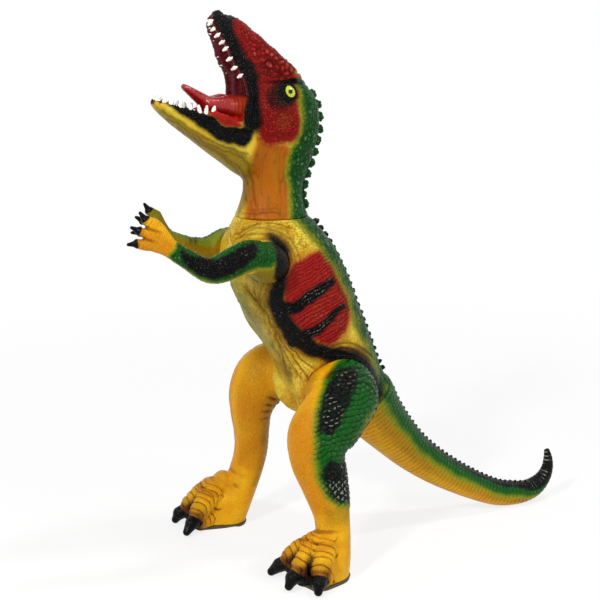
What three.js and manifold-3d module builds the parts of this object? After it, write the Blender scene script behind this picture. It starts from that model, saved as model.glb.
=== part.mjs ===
// A walking toy dinosaur of hollow soft vinyl: a body shell with a head, two arms, two legs and a tail,
// each cast by itself and held in its socket by a two-flanged connector that lets it turn.
// Millimetres, +Z up. The figure faces -Y, and +X is its left side.
import * as THREE from "three";
import { mergeVertices } from "three/addons/utils/BufferGeometryUtils.js";
import Module from "manifold-3d";

const wasm = await Module();
wasm.setup();

// Walls and clearances
const wall = 2.4;
const seamGap = 0.3;
const fitGap = 0.3;
const pocketGap = 0.5;
const overrun = 60;
const holeReach = 15;
const groundSpan = 480;
const meshTolerance = 0.02;

// Body
const pelvisHeight = 152;
const pelvisBack = 48;
const torsoHeight = 138;
const torsoDepth = 94;
const torsoWidth = 92;

// Seams where the limbs turn
const neckSeamRadius = 30;
const tailSeamRadius = 28;
const shoulderSeamRadius = 16;
const hipSeamRadius = 30;
const shoulderRootRadius = 11;
const hipRootRadius = 18;

// Connectors: core radius, flange radius and flange thickness
const neckCoreRadius = 13;
const neckFlangeRadius = 20;
const tailCoreRadius = 11;
const tailFlangeRadius = 17;
const shoulderCoreRadius = 6.5;
const shoulderFlangeRadius = 10.5;
const hipCoreRadius = 12;
const hipFlangeRadius = 17;
const flangeThickness = 2;

// Head and neck
const headHeight = 161;
const headDepth = 60;
const headWidth = 54;
const jawSizeShares = { length: 0.522, depth: 0.236, throat: 0.106 };
const jawLength = headHeight * jawSizeShares.length;
const jawDepth = headHeight * jawSizeShares.depth;
const jawWidth = 46;
const lipWidth = 4.5;
const mouthDepth = 6;
const throatDepth = headHeight * jawSizeShares.throat;
const throatSeatShares = { back: -0.46, up: 0.57 };
const throatShares = [1, 0.95, 0.75];

// Tongue, teeth and eyes
const tongueLength = 46;
const tongueWidth = 22;
const tongueRise = 22;
const toothBandRadius = 1.3;
const toothHeight = 5;
const toothRadius = 1.9;
const toothRowShares = [0.03, 0.97];
const smallToothShare = 0.8;
const toothTipShare = 0.1;
const upperToothLean = [0, -0.93, -0.37];
const lowerToothLean = [0, -0.1, 1];
const eyeRadius = 6.2;
const eyeProud = 2.4;

// Arms: where the elbow, wrist and knuckles lie from the shoulder seam
const armPlaces = {
  left: {
    elbow: { out: 14, forward: 46, rise: -4 },
    wrist: { out: 10, forward: 81, rise: 16 },
    knuckles: { out: 9, forward: 101, rise: 27 },
  },
  right: {
    elbow: { out: 11, forward: 36, rise: -6 },
    wrist: { out: 8, forward: 60, rise: 6 },
    knuckles: { out: 6, forward: 72, rise: 13 },
  },
};
const shoulderCapDepth = 24;
const upperArmRadius = 14;
const forearmRadius = 8.6;
const palmWidth = 25;
const palmThickness = 15;
const fingerLength = 8;
const fingerRadius = 4;
const fingerClawLength = 8;
const fingerClawRadius = 3;
const fingerPitchShare = 0.31;
const fingerFanShare = 0.2;

// Legs: where the knee, shin and ankle lie, with heights as shares of the pelvis height, and the foot
const legPlaces = {
  left: {
    knee: { out: 63, back: 29, upShare: 0.763 },
    shin: { out: 70, back: 31, upShare: 0.539 },
    ankle: { out: 75, back: 34, upShare: 0.329 },
    heel: { out: 79, back: 33, upShare: 0.092 },
    foot: { out: 79, back: 29 },
    splay: THREE.MathUtils.degToRad(16),
  },
  right: {
    knee: { out: 62, back: 15, upShare: 0.796 },
    shin: { out: 63, back: 22, upShare: 0.553 },
    ankle: { out: 64, back: 17, upShare: 0.342 },
    heel: { out: 66, back: 3, upShare: 0.092 },
    foot: { out: 72, back: -7 },
    splay: THREE.MathUtils.degToRad(14),
  },
};
const hipCapDepth = 43;
const kneeDepth = 52;
const kneeWidth = 46;
const footLength = 48;
const footWidth = 52;
const heelStep = 6;
const toeRadius = 10.2;
const toeClawReach = 9;
const toeClawRadius = 6.6;
const instepHeight = 38;
const knuckleHeight = 23;
const clawRootHeight = 16;
const clawTipHeight = 2;
const toes = [
  { spread: THREE.MathUtils.degToRad(-43), reach: 39 },
  { spread: 0, reach: 36 },
  { spread: THREE.MathUtils.degToRad(38), reach: 34 },
];
const soleThickness = 3;

// Tail
const tailLength = 195;

// Crest of horn-like scales down the middle of the neck, back and tail
const crestWidthShare = 0.95;
const neckScaleHeight = 6;
const neckScalePitch = 9.6;
const backScaleHeight = 4;
const backScalePitch = 7.2;
const tailScaleHeight = 3;
const tailScalePitch = 7.4;
const tailScaleFade = 0.55;

// Numbers of sides and of steps
const bodySides = 20;
const tailSides = 14;
const limbSides = 14;
const toeSides = 8;
const ballSides = 10;
const bandSides = 4;
const bandSteps = 16;
const tongueSides = 10;
const fingerSides = 6;
const latheSides = 20;
const hollowSides = 12;
const connectorSides = 14;
const spikeSides = 5;
const toothSides = 4;
const upperTeeth = 17;
const lowerTeeth = 15;

// Outlines as shares. Torso: front point, back point (depth and height from the pelvis), half width.
const torsoShares = [
  [-0.72, 0.91, 0.07, 0.93, 0.78],
  [-0.74, 0.77, 0.19, 0.8, 0.91],
  [-0.71, 0.6, 0.29, 0.66, 0.98],
  [-0.62, 0.43, 0.39, 0.5, 1],
  [-0.5, 0.28, 0.49, 0.34, 0.96],
  [-0.35, 0.12, 0.57, 0.21, 0.88],
  [-0.23, -0.04, 0.62, 0.1, 0.8],
  [-0.06, -0.19, 0.67, 0.03, 0.72],
  [0.14, -0.29, 0.72, -0.03, 0.65],
];
const torsoSquareness = 2.3;
const neckSeatShares = { back: -0.36, up: 1 };
const tailSeatShares = { back: 0.56, up: -0.2 };
const tailSeatSlope = THREE.MathUtils.degToRad(48);
const shoulderSeatShares = { out: 0.37, back: -0.57, up: 0.77 };
const hipSeatShares = { out: 0.36, back: 0.12, up: -0.07 };

// Neck and skull: front point, back point (depth and height from the neck seam), half width
const headShares = [
  [-0.44, 0.056, 0.43, 0.056, 0.95],
  [-0.37, 0.124, 0.45, 0.13, 0.79],
  [-0.4, 0.186, 0.52, 0.193, 0.75],
  [-0.42, 0.255, 0.6, 0.26, 0.78],
  [-0.41, 0.335, 0.67, 0.36, 0.87],
  [-0.42, 0.435, 0.71, 0.475, 0.95],
  [-0.41, 0.53, 0.65, 0.59, 1],
  [-0.43, 0.596, 0.48, 0.66, 1],
  [-0.46, 0.665, 0.37, 0.72, 0.97],
  [-0.51, 0.739, 0.23, 0.773, 0.87],
  [-0.62, 0.807, 0.03, 0.826, 0.76],
  [-0.73, 0.869, -0.19, 0.894, 0.66],
  [-0.82, 0.92, -0.38, 0.957, 0.55],
  [-0.85, 0.957, -0.53, 0.99, 0.43],
  [-0.82, 0.984, -0.63, 1, 0.24],
];
const skullFirstRow = 6;
const cheekSquareness = 3;
const palateRow = 9;
const palateSquareness = 6;
const skullSquareness = 2.2;
const upperLipRows = [9, 10, 11, 12, 13, 14];
const lowerLipRows = [3, 4, 5, 6, 7];
const crestRows = 8;
const solidSnoutRows = 4;
const solidTailRows = 3;
const solidFootRows = 2;

// Lower jaw: upper point, lower point (reach and height from its root), half width
const jawRootShares = { back: -0.28, up: 0.416 };
const jawShares = [
  [-0.12, 0.34, -0.14, -0.92, 0.78],
  [0.05, 0.45, 0.06, -0.95, 0.96],
  [0.19, 0.45, 0.19, -0.8, 1],
  [0.34, 0.42, 0.32, -0.58, 0.95],
  [0.48, 0.45, 0.46, -0.35, 0.86],
  [0.64, 0.5, 0.61, -0.09, 0.75],
  [0.81, 0.6, 0.79, 0.22, 0.6],
  [0.93, 0.7, 0.93, 0.5, 0.43],
  [1, 0.72, 0.99, 0.63, 0.22],
];
const eyeSeatShares = { back: 0.13, up: 0.627, out: 0.86 };
const eyeShares = [0.62, 1, 1];

// Tongue: where its root lies on the jaw, its path, and its section along the path
const tongueSeatShares = { reach: 0.12, up: 0.56 };
const tonguePathShares = [
  [-0.38, -0.1],
  [0, -0.04],
  [0.4, -0.02],
  [0.76, 0.2],
  [1, 0.72],
];
const tongueShares = [
  [0, 0.7, 0.4],
  [0.28, 1, 0.5],
  [0.5, 1, 0.5],
  [0.64, 0.94, 0.46],
  [0.8, 0.86, 0.44],
  [0.92, 0.7, 0.36],
  [1, 0.44, 0.22],
];

// Tail: reach from its root, height of its underside, radius
const tailShares = [
  [0.06, 0.86, 0.88],
  [0.15, 0.69, 0.74],
  [0.25, 0.52, 0.63],
  [0.365, 0.363, 0.56],
  [0.48, 0.235, 0.505],
  [0.6, 0.118, 0.46],
  [0.712, 0.03, 0.43],
  [0.803, 0, 0.41],
  [0.877, 0.005, 0.385],
  [0.933, 0.05, 0.355],
  [0.974, 0.136, 0.31],
  [0.995, 0.248, 0.25],
  [0.997, 0.372, 0.18],
  [0.99, 0.48, 0.09],
];

// Rounded root of a limb: radius, height. Above the steep share the wall is measured along the axis.
const capShares = [
  [1, 0.42],
  [0.93, 0.64],
  [0.72, 0.86],
  [0.4, 0.97],
  [0, 1],
];
const capSteepShare = 0.8;
const rootTrimShare = 1.4;

// Arm: place along the path, radius as a share of upper arm (first rows) or forearm
const upperArmShares = [
  [0, 1],
  [0.2, 0.98],
  [0.38, 0.86],
];
const forearmShares = [
  [0.52, 1.2],
  [0.64, 1.08],
  [0.76, 1],
  [0.84, 0.94],
];
const upperArmFlatness = 0.92;
const palmShares = [
  [0.91, 0.8],
  [0.97, 1],
  [1, 0.84],
];

// Leg: place along the path, half width and half depth as shares of the knee's
const legShares = [
  [0, 0.95, 1.1],
  [0.1, 1, 1.12],
  [0.2, 1.01, 1.05],
  [0.28, 0.98, 0.94],
  [0.38, 0.9, 0.82],
  [0.5, 0.78, 0.7],
  [0.62, 0.68, 0.6],
  [0.73, 0.65, 0.56],
  [0.82, 0.7, 0.58],
  [0.91, 0.74, 0.62],
  [1, 0.6, 0.46],
];
const hipStartShares = { out: 0.55, forward: 0.08 };
const knuckleShare = 0.45;
const toeShares = [
  [0, 1.25],
  [0.3, 1.18],
  [0.55, 1.06],
  [0.78, 1],
  [0.93, 0.88],
  [1, 0.6],
];

// Sole of the foot: place along its length, half width, height of the flesh over it
const footShares = [
  [-0.3, 0.34, 0.8],
  [-0.1, 0.56, 1],
  [0.2, 0.72, 0.84],
  [0.46, 0.94, 0.58],
  [0.62, 0.9, 0.36],
];
const clawBow = { at: 0.55, rise: 0.35 };
const clawShares = [
  [0, 1],
  [0.35, 0.92],
  [0.7, 0.66],
  [1, 0.26],
];

// Geometry helpers

function solidFrom(geometry) {
  const bare = geometry.clone();
  for (const name of Object.keys(bare.attributes)) {
    if (name !== "position") bare.deleteAttribute(name);
  }
  const merged = mergeVertices(bare, 1e-4);
  const vertProperties = new Float32Array(merged.attributes.position.array);
  const triVerts = new Uint32Array(merged.index.array);
  const solid = new wasm.Manifold(new wasm.Mesh({ numProp: 3, vertProperties, triVerts }));
  if (solid.volume() > 0) return solid;
  for (let i = 0; i < triVerts.length; i += 3) {
    [triVerts[i + 1], triVerts[i + 2]] = [triVerts[i + 2], triVerts[i + 1]];
  }
  return new wasm.Manifold(new wasm.Mesh({ numProp: 3, vertProperties, triVerts }));
}

// A closed skin over rings that have the same number of points, with a flat fan at each end
function skin(rings) {
  const sides = rings[0].length;
  const points = rings.flat();
  const index = [];
  for (let r = 0; r + 1 < rings.length; r += 1) {
    for (let s = 0; s < sides; s += 1) {
      const a = r * sides + s;
      const b = r * sides + ((s + 1) % sides);
      index.push(a, b, a + sides, b, b + sides, a + sides);
    }
  }
  for (const [ring, flip] of [[rings[0], false], [rings.at(-1), true]]) {
    const base = flip ? (rings.length - 1) * sides : 0;
    const hub = points.length;
    points.push(centreOf(ring));
    for (let s = 0; s < sides; s += 1) {
      const next = (s + 1) % sides;
      index.push(hub, base + (flip ? s : next), base + (flip ? next : s));
    }
  }
  const geometry = new THREE.BufferGeometry().setFromPoints(points);
  geometry.setIndex(index);
  return solidFrom(geometry);
}

function centreOf(ring) {
  const sum = ring.reduce((total, p) => total.add(p), new THREE.Vector3());
  return sum.divideScalar(ring.length);
}

// A ring about a centre, with its two half axes and the squareness of its halves
function ringAbout(centre, across, along, sides, frontPower = 2, backPower = 2) {
  const ring = [];
  for (let i = 0; i < sides; i += 1) {
    const turn = (2 * Math.PI * i) / sides;
    const c = Math.cos(turn);
    const s = Math.sin(turn);
    const power = 2 / (s > 0 ? frontPower : backPower);
    const x = Math.sign(c) * Math.abs(c) ** power;
    const y = Math.sign(s) * Math.abs(s) ** power;
    ring.push(centre.clone().addScaledVector(across, x).addScaledVector(along, y));
  }
  return ring;
}

// A ring between a front and a back point of the middle plane
function ringBetween(front, back, halfWidth, sides, frontPower, backPower) {
  const centre = front.clone().add(back).multiplyScalar(1 / 2);
  const along = front.clone().sub(back).multiplyScalar(1 / 2);
  const across = new THREE.Vector3(halfWidth, 0, 0);
  return ringAbout(centre, across, along, sides, frontPower, backPower);
}

// The same ring with half its points, drawn in by a wall
function drawnIn(ring, depth) {
  const centre = centreOf(ring);
  return ring.filter((p, i) => i % 2 === 0).map((p) => {
    const arm = p.clone().sub(centre);
    return centre.clone().addScaledVector(arm.clone().normalize(), Math.max(arm.length() - depth, depth / 4));
  });
}

// The same rings with the first and the last moved outwards, so that a skin over them ends further out
function lengthened(rings, extra) {
  for (const [end, next] of [[rings[0], rings[1]], [rings.at(-1), rings.at(-2)]]) {
    const step = centreOf(end).sub(centreOf(next)).setLength(extra);
    for (const p of end) p.add(step);
  }
  return rings;
}

// The ring square to a path at a share of its length, level across
function ringOnPath(path, share, halfWidth, halfDepth, sides) {
  const centre = path.getPointAt(share);
  const tangent = path.getTangentAt(share);
  const across = new THREE.Vector3(1, 0, 0).addScaledVector(tangent, -tangent.x).normalize();
  const along = tangent.clone().cross(across).normalize();
  return ringAbout(centre, across.multiplyScalar(halfWidth), along.multiplyScalar(halfDepth), sides);
}

// Turns a solid made about +Z at the origin to stand on a seat
function placeOn(geometry, seat) {
  const turn = new THREE.Quaternion().setFromUnitVectors(new THREE.Vector3(0, 0, 1), seat.axis);
  geometry.applyQuaternion(turn).translate(seat.centre.x, seat.centre.y, seat.centre.z);
  return solidFrom(geometry);
}

function disc(seat, radius, from, to, steps = latheSides) {
  const geometry = new THREE.CylinderGeometry(radius, radius, to - from, steps);
  geometry.rotateX(Math.PI / 2).translate(0, 0, (from + to) / 2);
  return placeOn(geometry, seat);
}

function lathe(seat, profile, steps = latheSides) {
  const points = profile.map(([radius, height]) => new THREE.Vector2(radius, height));
  return placeOn(new THREE.LatheGeometry(points, steps).rotateX(Math.PI / 2), seat);
}

function meshNamed(name, solid, look) {
  const { vertProperties, triVerts } = solid.simplify(meshTolerance).getMesh();
  const geometry = new THREE.BufferGeometry();
  geometry.setAttribute("position", new THREE.BufferAttribute(vertProperties, 3));
  geometry.setIndex(new THREE.BufferAttribute(triVerts, 1));
  const mesh = new THREE.Mesh(geometry, new THREE.MeshStandardMaterial(look));
  mesh.name = name;
  return mesh;
}

// Looks
const yellowVinyl = { color: 0xe0b23a, roughness: 0.35, metalness: 0 };
const greenVinyl = { color: 0x1f6a2a, roughness: 0.3, metalness: 0 };
const redVinyl = { color: 0x9c1c1a, roughness: 0.32, metalness: 0 };
const toothPaint = { color: 0xf2f0ea, roughness: 0.4, metalness: 0 };
const eyePlastic = { color: 0xc8d020, roughness: 0.15, metalness: 0 };
const solePad = { color: 0x6f7455, roughness: 0.7, metalness: 0 };
const connectorPlastic = { color: 0xd8d6cf, roughness: 0.5, metalness: 0 };

// Seats: the centre of each seam on the body's side, and the way out of the body
const pelvis = new THREE.Vector3(0, pelvisBack, pelvisHeight);

function torsoPoint(depthShare, heightShare) {
  return new THREE.Vector3(0, depthShare * torsoDepth, heightShare * torsoHeight).add(pelvis);
}

const neckSeat = {
  centre: torsoPoint(neckSeatShares.back, neckSeatShares.up),
  axis: new THREE.Vector3(0, 0, 1),
};
const tailSeat = {
  centre: torsoPoint(tailSeatShares.back, tailSeatShares.up),
  axis: new THREE.Vector3(0, Math.cos(tailSeatSlope), -Math.sin(tailSeatSlope)),
};

function shoulderSeat(side) {
  const centre = torsoPoint(shoulderSeatShares.back, shoulderSeatShares.up);
  centre.x = side * shoulderSeatShares.out * torsoWidth;
  return { centre, axis: new THREE.Vector3(side, 0, 0) };
}

function hipSeat(side) {
  const centre = torsoPoint(hipSeatShares.back, hipSeatShares.up);
  centre.x = side * hipSeatShares.out * torsoWidth;
  return { centre, axis: new THREE.Vector3(side, 0, 0) };
}

const sides = [
  { name: "left", side: 1 },
  { name: "right", side: -1 },
];

// The two faces of a turning joint, and the connector that holds them together
const joints = {
  neck: { core: neckCoreRadius, flange: neckFlangeRadius },
  tail: { core: tailCoreRadius, flange: tailFlangeRadius },
  shoulder: { core: shoulderCoreRadius, flange: shoulderFlangeRadius },
  hip: { core: hipCoreRadius, flange: hipFlangeRadius },
};

function connector(seat, { core, flange }) {
  const inner = -wall - fitGap;
  const outer = seamGap + wall + fitGap;
  return lathe(seat, [
    [0, inner - flangeThickness],
    [flange, inner - flangeThickness],
    [flange, inner],
    [core, inner],
    [core, outer],
    [flange, outer],
    [flange, outer + flangeThickness],
    [0, outer + flangeThickness],
  ], connectorSides);
}

function connectorHole(seat, { core }) {
  const flat = Math.cos(Math.PI / connectorSides);
  return disc(seat, (core + fitGap) / flat, -holeReach, holeReach, connectorSides);
}

// Crest scales: low blunt cones along a line of the back
function crest(line, pitch, height, fade = () => 1) {
  const curve = new THREE.CatmullRomCurve3(line);
  const count = Math.floor(curve.getLength() / pitch);
  const scales = [];
  for (let i = 0; i < count; i += 1) {
    const share = (i + 1 / 2) / count;
    const size = height * fade(share);
    const tangent = curve.getTangentAt(share);
    const out = new THREE.Vector3(0, tangent.z, -tangent.y);
    if (out.y < 0 && Math.abs(tangent.z) > Math.abs(tangent.y)) out.negate();
    if (out.z < 0 && Math.abs(tangent.z) <= Math.abs(tangent.y)) out.negate();
    const cone = new THREE.ConeGeometry(size * crestWidthShare, size * 2, spikeSides);
    cone.rotateX(Math.PI / 2);
    scales.push(placeOn(cone, { centre: curve.getPointAt(share), axis: out.normalize() }));
  }
  return scales;
}

function joined(solids) {
  return solids.reduce((total, solid) => total.add(solid));
}

// Body shell

function torsoRings() {
  const half = torsoWidth / 2;
  const rings = torsoShares.map(([fy, fz, by, bz, width]) =>
    ringBetween(
      torsoPoint(fy, fz),
      torsoPoint(by, bz),
      width * half,
      bodySides,
      torsoSquareness,
      torsoSquareness,
    ),
  );
  const acrossNeck = new THREE.Vector3(neckSeamRadius, 0, 0);
  const alongNeck = new THREE.Vector3(0, -neckSeamRadius, 0);
  const acrossTail = new THREE.Vector3(tailSeamRadius, 0, 0);
  const alongTail = tailSeat.axis.clone().cross(acrossTail).negate();
  if (alongTail.y > 0) alongTail.negate();
  rings.unshift(ringAbout(neckSeat.centre, acrossNeck, alongNeck, bodySides));
  rings.push(ringAbout(tailSeat.centre, acrossTail, alongTail, bodySides));
  return rings;
}

// The flesh round a socket, which narrows towards the middle of the body
function boss(seat, radius, rootRadius, depth) {
  const length = Math.abs(seat.centre.x);
  const rim = radius + pocketGap + wall / 2;
  return lathe(seat, [
    [0, -length],
    [rootRadius - depth, -length],
    [(rootRadius * 2 + rim) / 3 - depth, -length / 2],
    [rim - depth, -depth],
    [0, -depth],
  ], depth ? hollowSides : latheSides);
}

// What is left of a solid when the crumbs that a cut leaves behind are dropped
function mainBody(solid) {
  const bodies = solid.decompose();
  return bodies.reduce((best, body) => (body.volume() > best.volume() ? body : best));
}

function bodyShell() {
  const rings = torsoRings();
  let outer = skin(rings);
  let hollow = skin(rings.map((ring) => drawnIn(ring, wall)));
  const trims = [neckSeat, tailSeat];
  for (const { side } of sides) {
    const shoulder = shoulderSeat(side);
    const hip = hipSeat(side);
    outer = outer.add(boss(shoulder, shoulderSeamRadius, shoulderRootRadius, 0));
    hollow = hollow.add(boss(shoulder, shoulderSeamRadius, shoulderRootRadius, wall));
    outer = outer.add(boss(hip, hipSeamRadius, hipRootRadius, 0));
    hollow = hollow.add(boss(hip, hipSeamRadius, hipRootRadius, wall));
  }
  for (const { side } of sides) {
    for (const [seat, radius] of [
      [shoulderSeat(side), shoulderSeamRadius],
      [hipSeat(side), hipSeamRadius],
    ]) {
      outer = outer.subtract(disc(seat, radius + pocketGap, 0, overrun));
      hollow = hollow.subtract(disc(seat, radius + pocketGap + wall, -wall, overrun));
    }
  }
  for (const seat of trims) {
    hollow = hollow.subtract(disc(seat, overrun, -wall, overrun));
  }
  const backLine = torsoShares.map(([, , by, bz]) => torsoPoint(by, bz));
  outer = outer.add(joined(crest(backLine, backScalePitch, backScaleHeight)));
  for (const seat of trims) {
    outer = outer.subtract(disc(seat, overrun / 2, 0, overrun / 2));
  }
  let shell = outer.subtract(hollow);
  shell = shell.subtract(connectorHole(neckSeat, joints.neck));
  shell = shell.subtract(connectorHole(tailSeat, joints.tail));
  for (const { side } of sides) {
    shell = shell.subtract(connectorHole(shoulderSeat(side), joints.shoulder));
    shell = shell.subtract(connectorHole(hipSeat(side), joints.hip));
  }
  return mainBody(shell);
}

// Head

function headPoint(depthShare, heightShare) {
  return new THREE.Vector3(0, depthShare * headDepth, heightShare * headHeight).add(neckSeat.centre);
}

const jawRoot = headPoint(jawRootShares.back, jawRootShares.up);

function jawPoint(reachShare, heightShare) {
  return new THREE.Vector3(0, -reachShare * jawLength, heightShare * jawDepth).add(jawRoot);
}

function frontSquareness(row) {
  if (row >= palateRow) return palateSquareness;
  return row >= skullFirstRow ? cheekSquareness : 2;
}

function headRings() {
  const half = headWidth / 2;
  const rings = headShares.map(([fy, fz, by, bz, width], row) =>
    ringBetween(
      headPoint(fy, fz),
      headPoint(by, bz),
      width * half,
      bodySides,
      frontSquareness(row),
      skullSquareness,
    ),
  );
  const base = neckSeat.centre.clone();
  base.z += seamGap;
  const across = new THREE.Vector3(neckSeamRadius, 0, 0);
  const along = new THREE.Vector3(0, -neckSeamRadius, 0);
  rings.unshift(ringAbout(base, across, along, bodySides));
  return rings;
}

function jawRings() {
  const half = jawWidth / 2;
  return jawShares.map(([uy, uz, ly, lz, width]) =>
    ringBetween(jawPoint(uy, uz), jawPoint(ly, lz), width * half, bodySides, palateSquareness, 2),
  );
}

// The hollow under the palate, or in the floor of the lower jaw, inside the lips
function mouthHollow(rings, extra) {
  const inner = rings.map((ring) => {
    const front = ring[bodySides / 4];
    const back = ring[(3 * bodySides) / 4];
    const depth = front.clone().sub(back).normalize();
    const side = Math.abs(ring[0].x) - lipWidth + extra;
    const across = new THREE.Vector3(Math.max(side, lipWidth / 2), 0, 0);
    return ringAbout(front, across, depth.multiplyScalar(mouthDepth + extra), bodySides, 2, cheekSquareness);
  });
  return skin(lengthened(inner, extra));
}

function throat(extra) {
  const size = throatDepth + extra;
  const centre = headPoint(throatSeatShares.back, throatSeatShares.up);
  const ball = new THREE.SphereGeometry(size, ballSides, ballSides - 2).scale(...throatShares);
  return placeOn(ball, { centre, axis: new THREE.Vector3(0, 0, 1) });
}

// The line that a row of teeth stands on: back along one lip, round the tip and back along the other
function toothLine(rings, rows, tipRing) {
  const lip = rows.map((row) => {
    const ring = rings[row];
    const front = ring[bodySides / 4];
    const inset = Math.abs(ring[0].x) - lipWidth / 2;
    return { front, inset: Math.max(inset, lipWidth / 2) };
  });
  const left = lip.map(({ front, inset }) => new THREE.Vector3(inset, front.y, front.z));
  const tip = tipRing[bodySides / 4].clone().lerp(tipRing[(3 * bodySides) / 4], toothTipShare);
  const right = left.map((p) => new THREE.Vector3(-p.x, p.y, p.z)).reverse();
  return new THREE.CatmullRomCurve3([...left, tip, ...right], false, "centripetal");
}

function toothBand(curve, radius, extra) {
  const rings = [];
  for (let i = 0; i <= bandSteps; i += 1) {
    const share = i / bandSteps;
    const centre = curve.getPointAt(share);
    const tangent = curve.getTangentAt(share);
    const across = new THREE.Vector3(0, 0, 1).cross(tangent).normalize().multiplyScalar(radius + extra);
    const along = tangent.clone().cross(across).normalize().multiplyScalar(radius + extra);
    rings.push(ringAbout(centre, across, along, bandSides));
  }
  return skin(lengthened(rings, extra));
}

function toothRow(curve, count, out, extra) {
  const row = [toothBand(curve, toothBandRadius, extra)];
  for (let i = 0; i < count; i += 1) {
    const share = THREE.MathUtils.lerp(toothRowShares[0], toothRowShares[1], i / (count - 1));
    const small = i % 2 ? smallToothShare : 1;
    const height = toothHeight * small + extra * 2;
    const cone = new THREE.ConeGeometry(toothRadius + extra, height, toothSides);
    cone.rotateX(Math.PI / 2).translate(0, 0, height / 2 - extra);
    row.push(placeOn(cone, { centre: curve.getPointAt(share), axis: out }));
  }
  return joined(row);
}

function tongueSolid(extra) {
  const root = jawPoint(tongueSeatShares.reach, tongueSeatShares.up);
  const path = new THREE.CatmullRomCurve3(
    tonguePathShares.map(([reach, rise]) =>
      root.clone().add(new THREE.Vector3(0, -reach * tongueLength, rise * tongueRise)),
    ),
  );
  const half = tongueWidth / 2;
  const rings = tongueShares.map(([at, width, depth]) =>
    ringOnPath(path, at, width * half + extra, depth * half + extra, tongueSides),
  );
  return skin(lengthened(rings, extra));
}

function eyeAt(side, extra) {
  const centre = headPoint(eyeSeatShares.back, eyeSeatShares.up);
  centre.x = side * (eyeSeatShares.out * (headWidth / 2) + eyeProud - eyeRadius / 4);
  const ball = new THREE.SphereGeometry(eyeRadius + extra, ballSides, ballSides - 2).scale(...eyeShares);
  return placeOn(ball, { centre, axis: new THREE.Vector3(0, 0, 1) });
}

function headPieces() {
  const rings = headRings();
  const jaw = jawRings();
  const palateRings = rings.slice(palateRow, -1);
  const floorRings = jaw.slice(1, -1);
  const upperLine = toothLine(rings, upperLipRows, rings.at(-1));
  const lowerLine = toothLine(jaw, lowerLipRows, jaw.at(-1));
  const upperOut = new THREE.Vector3(...upperToothLean).normalize();
  const lowerOut = new THREE.Vector3(...lowerToothLean).normalize();
  let outer = skin(rings).add(skin(jaw));
  let hollow = skin(rings.slice(0, -solidSnoutRows).map((ring) => drawnIn(ring, wall)));
  hollow = hollow.subtract(disc(neckSeat, overrun, -overrun, seamGap + wall));
  for (const [solid, grown] of [
    [mouthHollow(palateRings, 0), mouthHollow(palateRings, wall)],
    [mouthHollow(floorRings, 0), mouthHollow(floorRings, wall)],
    [throat(0), throat(wall)],
    [tongueSolid(fitGap), tongueSolid(wall)],
    [toothRow(upperLine, upperTeeth, upperOut, fitGap), toothBand(upperLine, toothBandRadius, wall)],
    [eyeAt(1, fitGap), eyeAt(1, wall)],
    [eyeAt(-1, fitGap), eyeAt(-1, wall)],
  ]) {
    outer = outer.subtract(solid);
    hollow = hollow.subtract(grown);
  }
  outer = outer.subtract(toothRow(lowerLine, lowerTeeth, lowerOut, fitGap));
  const backLine = headShares.slice(0, crestRows).map(([, , by, bz]) => headPoint(by, bz));
  outer = outer.add(joined(crest(backLine, neckScalePitch, neckScaleHeight)));
  outer = outer.subtract(disc(neckSeat, overrun, -overrun, seamGap));
  const shell = mainBody(outer.subtract(hollow).subtract(connectorHole(neckSeat, joints.neck)));
  return {
    shell,
    tongue: tongueSolid(0),
    upper: toothRow(upperLine, upperTeeth, upperOut, 0),
    lower: toothRow(lowerLine, lowerTeeth, lowerOut, 0),
  };
}

// Arms

function placeFrom(seat, side, { out, forward, rise }) {
  return new THREE.Vector3(side * out, -forward, rise).add(seat.centre);
}

function cap(seat, radius, depth, inset) {
  const dome = capShares.map(([wide, high]) => {
    return [Math.max(wide * radius - inset, 0), high * depth - (high > capSteepShare ? inset : 0)];
  });
  return lathe(
    seat,
    [[0, seamGap + inset], [radius - inset, seamGap + inset], ...dome],
    inset ? hollowSides : latheSides,
  );
}

function claw(from, direction, length, radius, droop) {
  const end = from.clone().addScaledVector(direction, length).add(new THREE.Vector3(0, 0, -droop));
  const middle = from.clone().lerp(end, clawBow.at).add(new THREE.Vector3(0, 0, droop * clawBow.rise));
  const path = new THREE.CatmullRomCurve3([from, middle, end]);
  return skin(
    clawShares.map(([at, share]) => ringOnPath(path, at, radius * share, radius * share, fingerSides)),
  );
}

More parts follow.
